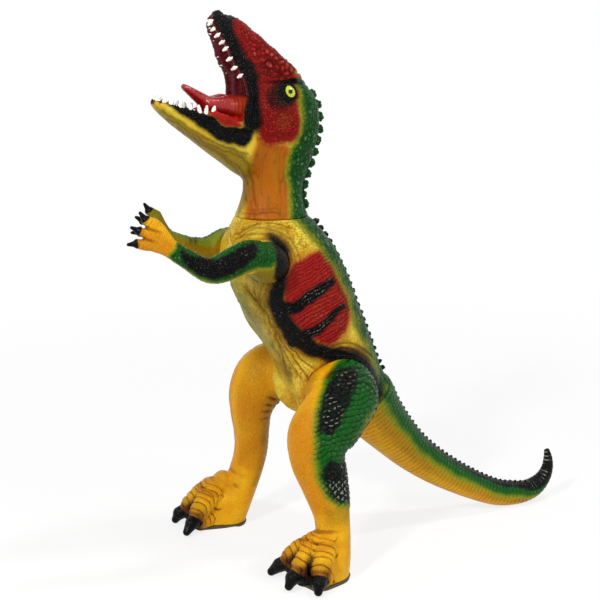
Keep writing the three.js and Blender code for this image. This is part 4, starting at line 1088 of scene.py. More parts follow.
def paint_head(made, tops):
    p, n, paint = made.p.copy(), made.normals(), made.paint
    x, y, z = p.T
    side = np.where(x < 0, -1.0, 1.0)
    out = n[:, 0] * side
    px = frayed(p)
    upper = smooth(380, 386, z) * (1 - smooth(2, 10, y + 14))
    facing_mouth = n @ MOUTH_WAY
    roof = upper * smooth(0.1, 0.45, facing_mouth - 0.75 * np.clip(out, 0, 1)) * (y < 2)
    floor_of_mouth = smooth(0.25, 0.5, n[:, 2] - 0.5 * np.clip(out, 0, 1))
    floor_of_mouth = floor_of_mouth * (y < -9) * (z < 392) * (z > 360)
    inner_wall = (out < -0.15) * (y < -8) * (z > 366)
    mouth = over(roof, floor_of_mouth, inner_wall)
    spine_side = smooth(0.8, 0.93, n[:, 1]) * (z < 402) * (y > 25)
    green = over(inside(px, NECK_GREEN, 7.0), spine_side)
    red = inside(px, RED_FACE, 6.0) * (1 - smooth(136, 152, px[:, 1]) * 0.75)
    snout_top = (z > 408) * (n[:, 2] + n[:, 1] > 0.5)
    red = over(red, snout_top)
    black = over(
        inside(px, MUZZLE_BLACK, 8.0) * (y < 14),
        inside(px, JAW_BLACK, 4.6) * (z < 392),
        smooth(446.5, 449.5, z - np.abs(x) * 0.1) * (y < -24),
    )
    eye_gap = np.linalg.norm((px - EYE_PIXEL) * [1.0, 0.92], axis=1)
    under_eye = np.linalg.norm((px - [282, 97]) * [0.9, 1.1], axis=1)
    around = over(1 - smooth(7.5, 12.5, eye_gap), 0.55 * (1 - smooth(11, 18, under_eye)))
    socket_line = along_line(px, EYE_RIDGE, [0.8, 2.0, 2.6, 2.4], 1.4)
    lip_edge = np.zeros(len(p))
    for s in (1, -1):
        lip_edge = over(lip_edge, near(p, curve(mirrored(UPPER_LIP, s), 4), 4.0, 6.5))
    black = over(black, lip_edge * (1 - roof))
    outside = 1 - mouth
    folds, dark = creases(px, HEAD_FOLDS, (1.2, 1), (0.2, 0.2), mask=outside)
    for line in JAW_LINES:
        gap, _ = line_distance(px, curve(line, 5))
        folds += 0.4 * groove(gap, 1.1) * outside
        dark = over(dark, 0.4 * groove(gap, 1.1) * outside)
    rings = (0.5 + 0.5 * np.cos(eye_gap * 2 * np.pi / 2.3)) * window(eye_gap, 10.5, 17, 1.5)
    rings *= smooth(2, 8, 287 - px[:, 0] + 4)
    brow = inside(px, BROW, 2.5)
    snout = inside(px, SNOUT, 3)
    big = cells(p, 5.4, 2)
    mid = cells(p, 3.3, 4)
    fine = cells(p, 2.4, 7)
    neck_scales = cells(p, 4.0, 9)
    ear_gap = np.hypot((px[:, 0] - EAR_PIXEL[0]) / 9.5, (px[:, 1] - EAR_PIXEL[1]) / 11)
    ear = 1 - smooth(0.8, 1.15, ear_gap)
    ear_rim = np.exp(-((ear_gap - 1.08) / 0.14) ** 2)
    head_part = smooth(318, 336, z)
    cheek = (1 - over(brow, snout, green, black)) * head_part * red
    streaks = fibres(p, 4.2, 3, (1, 1, 0.1), 0.07) * inside(px, THROAT, 6)
    height = -folds
    height += outside * (
        RELIEF["brow"] * brow * (big - 0.45)
        + RELIEF["snout"] * snout * (1 - brow) * (mid - 0.45)
        + RELIEF["cheek"] * cheek * (fine - 0.45) * (1 - around)
        + RELIEF["neck"] * green * (neck_scales - 0.45) * (1 - near(p, tops, 3.0, 5.0))
        + RELIEF["black"] * black * (fine - 0.4)
        - RELIEF["streaks"] * streaks * (1 - green)
        + RELIEF["eye rings"] * rings
        + RELIEF["ear"] * ear_rim
        - RELIEF["ear"] * ear
    )
    ripple = ridges((y * 0.57 - z * 0.82) / 3.4)
    height += mouth * RELIEF["palate"] * (ripple - 0.5)
    rim = 1 - smooth(0.5, 2.5, np.abs(z - NECK[2]))
    made.lift(height * (1 - rim))
    neck_orange = inside(px, NECK_ORANGE, 7)
    jaw_underside_shade = inside(px, JAW_UNDERSIDE_SHADE, 6) * (z < 386)
    membrane = inside(px, MEMBRANE, 1.2)
    paint["orange"] = over(neck_orange, membrane, 0.5 * floor_of_mouth * smooth(-34, -22, y))
    # The olive under the jaw is painted shade.
    paint["olive"] = over(0.7 * jaw_underside_shade, 0.6 * streaks * neck_orange, 0.35 * neck_orange) * (1 - membrane)
    crown = along_line(px, [(246, 25), (262, 40), (276, 52), (290, 62)], [2, 3, 3.5, 2], 3)
    paint["brown"] = over(0.7 * crown, 0.55 * ear, 0.4 * streaks * neck_orange, 0.55 * membrane)
    brow_end = 1 - smooth(4, 7.5, np.linalg.norm(px - [300.5, 72], axis=1))
    red_all = over(red * (1 - 0.8 * brow_end), mouth * (1 - roof))
    walls = smooth(0, 0.1, over(roof, inner_wall)) * (y > -74)
    paint["red"] = over(red_all * (1 - 0.3 * ear), lip_edge, walls, 0.8 * membrane)
    paint["maroon"] = over(roof, inner_wall * (z > 384), 0.25 * ear, 0.2 * membrane)
    paint["green"] = over(green * outside, 0.2 * along_line(px, [(274, 156), (277, 200)], [2.0], 5))
    knobs = near(p, tops, 4.6, 6.4)
    gum = np.zeros(len(p))
    for s in (1, -1):
        gum = over(gum, near(p, curve(mirrored(LOWER_LIP, s), 5), 2.6, 4.2))
    gum = gum * (out < 0.6) * smooth(-48, -58, y) * (y < -50)
    paint["black"] = over(
        black * outside * (1 - 0.9 * membrane),
        0.95 * knobs,
        around * outside,
        0.9 * socket_line * outside,
        0.9 * gum,
    )
    # Painted shade in the folds, between the scales, in the throat's streaks and between the palate's ridges.
    scale_gaps = over(
        0.85 * brow * (1 - big),
        0.75 * snout * (1 - mid),
        0.6 * cheek * (1 - fine),
        0.5 * green * (1 - smooth(0, 0.5, neck_scales)),
    )
    throat_streaks = 0.22 * streaks * (1 - green)
    paint["crease_shade"] = over(dark, scale_gaps * outside, throat_streaks, 0.4 * mouth * (1 - ripple))
    paint["pebble"] = outside * np.maximum(over(0.9 * red, 0.7 * green, 0.9 * black), 0.2)
    patchy = 0.4 + 0.6 * smooth(-0.5, 0.4, clouds(p, 9, 12))
    # Painted highlights on the scales of the neck, snout, brow, cheeks and black coats.
    paint["painted_highlight"] = outside * patchy * over(
        0.36 * green * smooth(0.72, 0.95, neck_scales) * (1 - knobs),
        0.3 * snout * (1 - black) * smooth(0.5, 0.97, mid),
        0.3 * brow * smooth(0.5, 0.97, big),
        0.26 * cheek * smooth(0.5, 0.97, fine),
        0.2 * black * smooth(0.7, 0.97, fine),
    )
    made.soften(6, "orange", "olive", "brown", "green", "red")
    made.soften(5, "black")


def teeth(roots_left, tips_left, low, high, lean=None):
    """Pegs on a narrow white gum along both sides of a jaw. A lean sets the right side's tips."""
    field = Field(low, high, STEPS["tooth"])
    for side in (1, -1):
        roots = mirrored(roots_left, side)
        ends = mirrored(tips_left, side)
        if side < 0 and lean is not None:
            ends = roots[:len(ends)] + mirrored([lean], side)
        line = curve(roots, 5)
        thick = 0.85 + 0.2 * np.sin(np.arange(len(line)) * 1.3)
        field.chain(line, thick, 0.3)
        for root, end in zip(roots, ends):
            field.chain([root, root * 0.45 + end * 0.55, end], [1.8, 1.55, 1.0], 0.4)
    front = (np.array(roots_left[0]) * [0, 1, 1]) + [0, -0.6, 0.3]
    field.chain([mirrored(roots_left, 1)[0], front, mirrored(roots_left, -1)[0]], [1.1, 1.1, 1.1], 0.3)
    return field


HEAD, NECK_TOPS, EYE_REACHES = head_field()
head_skin = HEAD.mesh()
paint_head(head_skin, NECK_TOPS)
head_skin.make("head_skin", "head", "head_shell", "head_vinyl", BODY_VINYL)

UPPER_LENGTH = 5.4
upper_tips = [np.array(root) + np.array([-0.6, -0.58, -0.5]) * UPPER_LENGTH for root in UPPER_LIP[:8]]
upper_tips[0] = np.array(UPPER_LIP[0]) + [-1.0, -3.6, -3.0]
upper = teeth(UPPER_LIP, upper_tips, [-25, -46, 394], [25, -6, 452], (-3.4, 0.2, -0.6)).mesh(3)
upper.make("upper_tooth_row", "head", "upper_teeth", "tooth_plastic", TOOTH)
lower_tips = [np.array(a) * 0.28 + np.array(b) * 0.72 for a, b in zip(LOWER_LIP, LOWER_TIPS)]
lower = teeth(LOWER_LIP, lower_tips, [-23, -90, 370], [23, -34, 396]).mesh(3)
lower.make("lower_tooth_row", "head", "lower_teeth", "tooth_plastic", TOOTH)

TONGUE_ROWS = [
    [0, -6, 375, 15, 7.5], [0, -16, 376.5, 15.4, 7.8], [0, -28, 378.6, 14.6, 7], [0, -39, 382, 12.2, 5.8],
    [0, -47, 387.2, 9.6, 4.6], [0, -54, 392.2, 7.2, 3.4], [0, -59, 395.6, 4.6, 2.4], [0, -61, 397, 2.2, 1.4],
]
TONGUE_EDGE = [[9.5, -8, 381], [9.5, -26, 381.5], [8.5, -40, 382]]
TONGUE_GROOVE = [[0, -12, 386.8], [0, -30, 388.5], [0, -44, 392.5], [0, -55, 397.5]]
tongue_field = Field([-20, -66, 362], [20, 0, 403], STEPS["tongue"])
tongue_field.add(tube(TONGUE_ROWS))
for side_sign in (1, -1):
    tongue_field.chain(mirrored(TONGUE_EDGE, side_sign), [6.5, 6.8, 5], 3)
tongue_field.chain(TONGUE_GROOVE, [1.6, 1.6, 1.4, 1.0], 1.5, cut=True)
tongue_skin = tongue_field.mesh()
aside, back_along = np.abs(tongue_skin.p[:, 0]), tongue_skin.p[:, 1]
edge_dark = smooth(0.55, 0.95, aside / np.interp(-back_along, [6, 28, 47, 61], [15.4, 14.6, 9.6, 3]))
# Painted shade: darker maroon along the middle groove.
tongue_skin.paint["maroon"] = over(0.6 * groove(aside, 1.2), 0.35 * edge_dark)
tongue_skin.paint["orange"] = 0.6 * smooth(-34, -18, back_along) * edge_dark
tongue_skin.lift(0.25 * (ridges(back_along / 3.2) - 0.5) * smooth(0, 0.3, edge_dark + 0.2))
tongue_skin.make("tongue_skin", "head", "tongue", "tongue_vinyl", TONGUE)

EYE_DEPTH = 1.4
for side_name, side_sign in (("left", 1), ("right", -1)):
    centre = EYE_PLACE + [side_sign * (EYE_REACHES[side_sign] - EYE_DEPTH), 0, 0]
    eye_field = Field(centre - 10, centre + 10, STEPS["eye"])
    eye_field.egg(centre, [3.1, 8.4, 5.4], axes=np.array([[1.0, 0, 0], EYE_LONG, EYE_SHORT]))
    eye_skin = eye_field.mesh(4)
    long, short = (eye_skin.p - centre) @ EYE_LONG, (eye_skin.p - centre) @ EYE_SHORT
    almond_gap = np.hypot(long / 7.9, short / 4.8)
    pupil = np.hypot(long + 0.4, short)
    eye_skin.paint["black"] = over(smooth(0.86, 0.96, almond_gap), 1 - smooth(1.4, 2.0, pupil))
    eye_skin.paint["olive"] = over(smooth(0.62, 0.9, almond_gap), 0.6 * (1 - smooth(1.6, 3.2, pupil)))
    eye_skin.make("eye_lens_" + side_name, "head", "eye_" + side_name, "eye_plastic", EYE)


# Legs and feet: rows of x out to the side, y, z, half width and half depth

LEGS = {
    "left": [
        [52, 57, 147, 20, 27.5],
        [57, 52, 139, 22.5, 28.5],
        [60.5, 41, 129, 23.3, 28.5],
        [62.5, 29.5, 116, 22.8, 27.5],
        [65, 26.5, 100, 20.6, 23.2],
        [69, 30, 82, 17.9, 20.2],
        [72, 33.5, 65, 15.6, 17.4],
        [75, 35, 50, 14.8, 14.6],
        [77.5, 35, 33, 15.5, 14],
        [79, 33, 17, 16.5, 14.5],
        [79, 30, 2, 15, 13],
    ],
    "right": [
        [52, 57, 147, 20, 27.5],
        [58, 46, 140, 22.5, 28.5],
        [61, 31.5, 133, 23, 27.5],
        [62, 23, 119, 22, 23.5],
        [62.5, 20, 104, 19.8, 18.6],
        [62.5, 20, 88, 17.6, 15.8],
        [63, 20, 72, 16, 14.8],
        [64, 17.5, 56, 15.2, 14.6],
        [65.5, 11, 36, 15.5, 14.5],
        [67, 4, 17, 16.5, 14.5],
        [67, 0, 2, 15, 13],
    ],
}
FEET = {"left": ([79, 29], 16), "right": ([72, -7], 14)}
# Each toe's spread in degrees, and how far out its root and its claw's tip are
TOES = [(-43, 38, 48), (0, 36, 43), (38, 34, 40)]
# How far a toe's end is behind its reach, its height, the radii along a claw, and the top of the sole
TOE_BACK = 8.5
TOE_HEIGHT = 17
CLAW_RADII = (6.6, 6.0, 3.5)
SOLE_TOP = 3.0
HIP_DOME = [(-4, 30), (8, 30), (16, 28.6), (24, 25.8), (32, 20.5), (38, 13.5), (41, 6)]


def heading(side, degrees):
    angle = math.radians(degrees)
    return np.array([side * math.sin(angle), -math.cos(angle), 0])


def foot_place(name, side):
    (out, back), splay = FEET[name]
    return np.array([side * out, back, 0.0]), splay


def claw_points(name, side):
    """The root, middle and tip of each toe's claw."""
    foot, splay = foot_place(name, side)
    points = []
    for spread, reach, tip in TOES:
        ahead = heading(side, splay + spread)
        points.append((
            foot + ahead * (reach - 6) + [0, 0, 13.5],
            foot + ahead * (reach + 1) + [0, 0, 10.2],
            foot + ahead * (tip - 2.2) + [0, 0, 4.4],
        ))
    return points


def foot_forms(field, name, side):
    foot, splay = foot_place(name, side)
    ahead = heading(side, splay)
    across = np.cross(ahead, (0, 0, 1))
    c, s = (way[:, None] for way in circle(ROUND))
    wedge = []
    for along, wide, tall in curve([[-16, 9, 28], [-6, 16, 38], [8, 18, 37], [18, 18, 24], [25, 15, 11]], 4):
        wedge.append(foot + ahead * along + across * wide * c + np.array([0, 0, 1.0]) * tall * s)
    field.add(np.array(wedge), 6)
    for spread, reach, _ in TOES:
        way = heading(side, splay + spread)
        top = [(-4, 38), (9, 30), (reach * 0.6, 23), (reach - TOE_BACK, TOE_HEIGHT)]
        field.chain([foot + way * ahead + [0, 0, up] for ahead, up in top], [9, 9.8, 8.4, 8.3], 1.0)
        field.chain([foot + way * 4 + [0, 0, 10], foot + way * (reach - 11) + [0, 0, 8.5]], [11, 7.6], 1.0)


def leg_field(name, side):
    rows = mirrored(LEGS[name], side)
    low = rows[:, :2].min(0) - [36, 62]
    high = rows[:, :2].max(0) + [36, 36]
    field = Field([*low, -6], [*high, 182], STEPS["leg"])
    field.add(tube(rows))
    field.add(dome(HIP, side, HIP_DOME), 6)
    foot_forms(field, name, side)
    rods = []
    for spots in claw_points(name, side):
        field.chain(spots, CLAW_RADII, 0.3)
        rods += zip(spots[:-1], spots[1:], CLAW_RADII[:-1], CLAW_RADII[1:])
    field.seat(HIP, side, HIP_RADIUS + 6)
    # The foot ends on its sole, but the claws reach down beside it
    z = field.grid[2]
    claws = np.full_like(field.d, field.far)
    for rod in rods:
        claws = np.minimum(claws, rod_gap(field.grid, *rod))
    under = np.where(z < SOLE_TOP + 0.1, SOLE_TOP - z, -field.far * 10)
    field.d = np.minimum(np.maximum(field.d, under), np.maximum(claws, 0.5 - z)).astype(np.float32)
    return field


def sole_field(name, side):
    foot, _ = foot_place(name, side)
    field = Field([foot[0] - 44, foot[1] - 44, -1.5], [foot[0] + 44, foot[1] + 34, 6], STEPS["sole"])
    foot_forms(field, name, side)
    rows = mirrored(LEGS[name], side)
    field.add(tube(rows[-3:]), 4)
    field.d -= 0.7
    field.plane([0, 0, SOLE_TOP - 0.1], (0, 0, 1))
    field.plane([0, 0, 0.05], (0, 0, -1))
    return field


# Paint on the outer side of the left leg and arm, in photo pixels
LEG_GREEN = [(330, 358), (322, 380), (319, 396), (317, 412), (316, 430), (316, 450), (317, 468), (321, 484),
             (328, 497), (338, 505), (352, 506), (356, 470), (358, 440), (366, 420), (380, 405), (400, 385),
             (400, 350), (376, 338), (350, 344)]
THIGH_BLACK = [(338, 370), (352, 367), (359, 376), (355, 392), (348, 408), (340, 424), (331, 435), (321, 432),
               (318, 418), (321, 400), (328, 384)]
CALF_BLACK = [(322, 470), (330, 460), (340, 463), (350, 458), (356, 478), (352, 498), (340, 503), (328, 492)]
ARM_GREEN = [(156, 232), (178, 238), (196, 247), (212, 252), (226, 248), (240, 238), (255, 230), (276, 232),
             (280, 258), (272, 268), (258, 268), (247, 272), (232, 279), (217, 283), (200, 280), (186, 271),
             (160, 256)]
ARM_BLACK = [(180, 253), (195, 258), (212, 262), (227, 257), (243, 246), (255, 243), (257, 254), (246, 265),
             (231, 273), (216, 278), (200, 275), (187, 266)]


KNEE_CREASES = ((2.6, 0.9), (3.1, 0.8), (3.6, 0.6), (4.1, 0.4))
HIP_CREASES = ((27, 0.7), (22.5, 0.6), (17.5, 0.5), (12.5, 0.35))
THIGH_TILT = math.radians(18)
DIAMOND = 6.4
SCUTE = 4.4


def edge_fade(p, side, centre, radius):
    """0 at a limb's seat on the body, so that the seam stays round."""
    beyond = smooth(radius - 1, radius + 5, round_gap(p, centre)) * 5
    return smooth(0.5, 4.0, side * p[:, 0] - centre[0] + beyond)


def paint_toes(made, name, side, p, n):
    """The relief and the painted shade of the toes' scutes, the claws, the nail beds and the painted shade of
    the gaps between the toes.
    """
    foot, splay = foot_place(name, side)
    relief, dark, claw, bed, shade = np.zeros((5, len(p)))
    for index, ((spread, reach, _), spots) in enumerate(zip(TOES, claw_points(name, side))):
        way = heading(side, splay + spread)
        away = p - foot
        forward = away @ way
        aside = away @ np.cross(way, (0, 0, 1))
        on_toe = 1 - smooth(9, 13, np.abs(aside))
        on_toe = on_toe * smooth(5, 10, forward) * (1 - smooth(reach - 4, reach, forward))
        on_toe = on_toe * smooth(-0.3, 0.3, n[:, 2] + 0.25) * (1 - smooth(35, 43, p[:, 2]))
        bow = forward + 0.05 * aside ** 2 + 0.8 * clouds(p, 9, index)
        scute = ridges(bow / SCUTE, 3.0)
        relief += RELIEF["toes"] * on_toe * (scute - 0.6)
        dark = over(dark, on_toe * (1 - smooth(0, 0.8, scute)))
        gap, claw_share = line_distance(p, np.array(spots))
        width = np.interp(claw_share, [0, 0.5, 1], [7.4, 6.9, 5.0])
        bulb = np.linalg.norm(p - (foot + way * (reach - TOE_BACK) + [0, 0, TOE_HEIGHT]), axis=1)
        off = smooth(8.6, 9.4, bulb)
        claw = over(claw, (1 - smooth(-0.3, 0.5, gap - width)) * off)
        beside = smooth(reach - 4, reach + 3, forward) * (1 - smooth(9, 12, np.abs(aside)))
        bed = over(bed, beside * (1 - off))
        between = 1 - smooth(0.5, 4.5, np.abs(np.abs(aside) - 10))
        shade = over(shade, between * smooth(10, 18, forward))
    return relief, dark, claw, bed, shade


def paint_leg(made, name, side):
    p, n, paint = made.p.copy(), made.normals(), made.paint
    x, z = p[:, 0], p[:, 2]
    rows = mirrored(LEGS[name], side)
    share, front = limb(p, rows, side)
    model = p if name == "left" else twin(p, rows, side, np.array(LEGS["left"], float))
    px = frayed(model)
    rank = share * (len(rows) - 1)
    back = -front
    sway = np.sin(np.radians(back) * 3)
    ring = round_gap(p, HIP)
    foot, splay = foot_place(name, side)
    outer = window(front, -118, 78, 16)
    leg = 1 - smooth(6.9, 7.6, rank)
    behind = window(back, 70, 125, 16) * (1 - smooth(5.8, 6.6, rank))
    green = over(inside(px, LEG_GREEN, 8.5) * outer * leg, 0.9 * behind)
    patch = inside(px, THIGH_BLACK, 6.5) * outer
    calf = inside(px, CALF_BLACK, 6.5) * outer
    arcs = 0.5 + 0.5 * np.cos(2 * np.pi * (ring - 1.5 + 1.2 * np.sin(np.radians(back) * 4)) / 6.0)
    fold_zone = window(back, 48, 120, 12) * (1 - smooth(2.4, 3.4, rank))
    black = over(patch, calf, 0.9 * fold_zone * smooth(0.35, 0.8, arcs))

    # Squares on the thigh, diamonds on the shin and small scales elsewhere
    net = px + np.stack([1.3 * clouds(p, 12, 3), 1.3 * clouds(p, 12, 9)], axis=1)
    row = (net[:, 1] * math.cos(THIGH_TILT) + net[:, 0] * math.sin(THIGH_TILT)) / 4.9
    file = (net[:, 0] * math.cos(THIGH_TILT) - net[:, 1] * math.sin(THIGH_TILT)) / 5.4
    file = file + 0.5 * (np.floor(row) % 2)
    slant, cross = (net[:, 0] + net[:, 1]) / DIAMOND, (net[:, 0] - net[:, 1]) / DIAMOND
    squares = ridges(row, 2.6) * (0.3 + 0.7 * ridges(file, 2.6))
    diamonds = ridges(slant, 2.4) * ridges(cross, 2.4)
    upper = (1 - smooth(3.6, 4.6, rank)) * outer
    shin = smooth(4.0, 4.8, rank) * (1 - smooth(6.5, 7.3, rank)) * outer
    small = cells(p, 3.0, 3)
    scaly = smooth(0.05, 0.5, green)
    # The grooves between the scales, where the black is thinned as a painted highlight.
    bright = over(upper * (1 - smooth(0.0, 0.5, squares)), shin * (1 - smooth(0.0, 0.45, diamonds)))
    lines = smooth(0.3, 0.9, over(patch, calf))
    height = upper * (0.1 + 0.9 * scaly) * RELIEF["squares"] * (squares - 0.5)
    height += RELIEF["diamonds"] * shin * scaly * (diamonds - 0.4)
    height += RELIEF["leg"] * leg * (1 - over(upper, shin * scaly)) * (small - 0.45)

    folds, dark = np.zeros((2, len(p)))
    for radius, depth in HIP_CREASES:
        line = groove(ring - radius - 0.7 * sway, 0.9)
        line = line * (z > 146) * (side * x > 40) * (side * x < 72)
        folds += depth * line
        dark = over(dark, 0.8 * line)
    for place, depth in KNEE_CREASES:
        line = groove((rank - place) * 14 - 3 * np.sin(np.radians(back)), 1.2) * window(back, 62, 175, 22)
        folds += depth * line
        dark = over(dark, 0.7 * line)
    thin = over(fibres(p, 4.6, 4, (1.2, 1.2, 0.4)), fibres(p, 4.2, 8, (0.4, 0.5, 1.3)))
    thin = thin * (0.5 + 0.5 * clouds(p, 20, 5)) * (1 - smooth(7.5, 9, rank)) * (1 - scaly)
    folds += RELIEF["leg wrinkles"] * thin
    dark = over(dark, 0.22 * thin)
    ankle = ridges(rank * 14.5 / 3.4 + 0.3 * clouds(p, 12, 6))
    ankle_zone = smooth(7.0, 7.6, rank) * window(front, 10, 150, 20) * (z > 30)
    height += RELIEF["ankle"] * ankle_zone * (ankle - 0.6)
    relief, toe_dark, claw, bed, shade = paint_toes(made, name, side, p, n)
    height += relief
    dark = over(dark, 0.55 * ankle_zone * (1 - ankle), toe_dark)
    made.lift((height - folds) * edge_fade(p, side, HIP, HIP_RADIUS) * (1 - claw))

    forward = (p - foot) @ heading(side, splay + 2)
    # Painted shade: black under the toes and in the gaps between them, and brown low at the front and on the
    # toes' downward sides.
    shade_under_toes = (1 - smooth(6, 13, z)) * smooth(20, 28, forward) * (1 - smooth(0.5, 0.9, n[:, 2]))
    low_front_shade = (1 - smooth(16, 36, z)) * smooth(8, 24, forward)
    shaded_toe_sides = low_front_shade * (1 - smooth(0.2, 0.8, n[:, 2]))
    shade_in_toe_gaps = 0.7 * low_front_shade * shade * smooth(16, 24, forward)
    black = over(black * (rank < 7.5), claw, 0.95 * shade_under_toes, shade_in_toe_gaps)
    paint["green"] = green * (1 - claw)
    paint["black"] = black
    # The nail beds are brown paint; the rest of this brown is painted shade.
    paint["brown"] = over(0.75 * bed, low_front_shade * shade, 0.55 * low_front_shade, 0.95 * shaded_toe_sides)
    shin_front = window(front, 12, 100, 25) * window(rank, 2.2, 6.8, 0.6)
    edge = over(window(front, 30, 75, 14), window(back, 120, 175, 20)) * leg
    # Painted shade: the inner side of the leg is darker, in orange and olive.
    inner_side_shade = smooth(0.3, 0.8, np.abs(front) / 90 - 0.6) * leg
    paint["orange"] = over(
        0.5 * shin_front,
        0.25 * edge,
        (0.4 + 0.25 * clouds(p, 26, 2)) * inner_side_shade,
        0.3 * window(front, 20, 160, 30) * smooth(6.6, 7.4, rank) * (z > 30),
    )
    paint["olive"] = over(
        0.5 * window(rank, 6.0, 7.4, 0.5) * window(back, -50, 130, 20),
        0.5 * window(back, 112, 178, 18) * (rank < 8),
        0.45 * upper * (1 - scaly) * window(front, -20, 40, 15),
        0.3 * inner_side_shade,
    )
    # Painted shade in the creases and between the scales.
    paint["crease_shade"] = over(
        dark * (1 - claw),
        0.9 * upper * (0.12 + 0.88 * scaly) * (1 - smooth(0, 0.6, squares)) * (1 - lines),
        0.6 * shin * scaly * (1 - smooth(0, 0.5, diamonds)) * (1 - lines),
        0.08 * leg * (1 - scaly) * (1 - smooth(0, 0.5, small)),
    )
    paint["pebble"] = np.maximum(0.8 * black, 0.25) * (1 - 0.7 * claw)
    # Painted highlights along the rows of squares and diamonds.
    dash = over(
        upper * glints(row, file, 0.12),
        shin * over(glints(slant, cross, 0.13), glints(cross, slant, 0.13)),
    )
    patchy = smooth(-0.6, 0.3, clouds(p, 10, 12))
    paint["painted_highlight"] = dash * patchy * over(0.66 * lines, 0.36 * scaly) * (1 - claw)
    made.soften(14, "orange", "olive", "green")
    made.soften(4, "brown")
    made.soften(3, "black")
    # The black is thinned between its scales, so that the green shows through as a painted highlight, and it
    # breaks up along its edges
    scale_gaps = over(upper * (1 - squares), shin * (1 - diamonds))
    edge_zone = window(paint["black"], 0.1, 0.6, 0.12) * green * (1 - claw)
    kept = paint["black"] * (1 - 0.8 * bright * lines * green)
    paint["black"] = kept + 0.5 * edge_zone * (scale_gaps - 0.45)


# Arms: rows as for the legs

ARMS = {
    "left": [
        [39, -5.6, 258.3, 13, 14],
        [45, -14, 262.5, 13.2, 14],
        [48, -24, 266, 12.8, 13.4],
        [49.5, -34, 265, 12, 12.4],
        [49.5, -46, 260, 11, 11.6],
        [48.5, -57, 258, 9.6, 10.2],
        [47, -65.5, 261.2, 8.4, 8.7],
        [46, -73.2, 266.3, 7.4, 7.7],
        [45, -80.8, 271.4, 6.8, 7.2],
        [44, -88.4, 277, 6.4, 7.2],
        [43.5, -95, 282.3, 6.2, 9.5],
        [43, -101.5, 287.3, 6, 12.2],
        [43, -107, 289.8, 5, 12.5],
    ],
    "right": [
        [39, -5.6, 258.3, 13, 14],
        [44, -12.3, 258.5, 13, 13.6],
        [46, -21, 256, 12, 12.6],
        [45, -29.5, 256, 10.6, 11],
        [43.5, -41.5, 259.7, 9, 9.2],
        [42.5, -50.6, 264, 7.6, 7.8],
        [41.5, -59.6, 268.1, 6.8, 7.2],
        [41, -65, 272.5, 6.4, 7.2],
        [40.5, -70, 277.2, 6.2, 9],
        [40, -74.5, 281, 6, 11.4],
        [40, -78.5, 283.5, 5, 11.6],
    ],
}


SHOULDER_DOME = [(-4, 15.7), (7, 15.7), (13, 14.6), (18, 12), (22, 8), (23.5, 4)]
# Shares along the arms
WRIST = {"left": 0.735, "right": 0.70}
ELBOW = {"left": 0.44, "right": 0.40}
FINGER_GAP = 8.2


def finger_points(name, side):
    """The root, end and claw's tip of each finger."""
    rows = mirrored(ARMS[name], side)
    forward = unit(rows[-1, :3] - rows[-4, :3])
    forward = unit(forward * [1, 1, 0.55])
    fan = unit(np.cross((1.0, 0, 0), forward))
    if fan[2] < 0:
        fan = -fan
    points = []
    for rank, long in ((-1, 7.5), (0, 8.5), (1, 7)):
        way = unit(forward + fan * rank * 0.16)
        root = rows[-1, :3] + fan * rank * FINGER_GAP - forward * 4
        tip = root + way * long
        claw = tip + unit(way + fan * (0.35 * rank + 0.1)) * 7.5
        points.append((root, tip, claw))
    return points


def arm_field(name, side):
    rows = mirrored(ARMS[name], side)
    low = rows[:, :3].min(0) - [18, 34, 24]
    high = rows[:, :3].max(0) + [18, 28, 24]
    field = Field(low, high, STEPS["arm"])
    field.add(tube(rows))
    field.add(dome(SHOULDER, side, SHOULDER_DOME), 6)
    for root, tip, claw in finger_points(name, side):
        field.rod(root, tip, 4.4, 3.9, 1.2)
        field.rod(tip - (claw - tip) * 0.25, claw, 3.5, 1.3, 0.3)
    field.seat(SHOULDER, side, SHOULDER_RADIUS + 9)
    return field


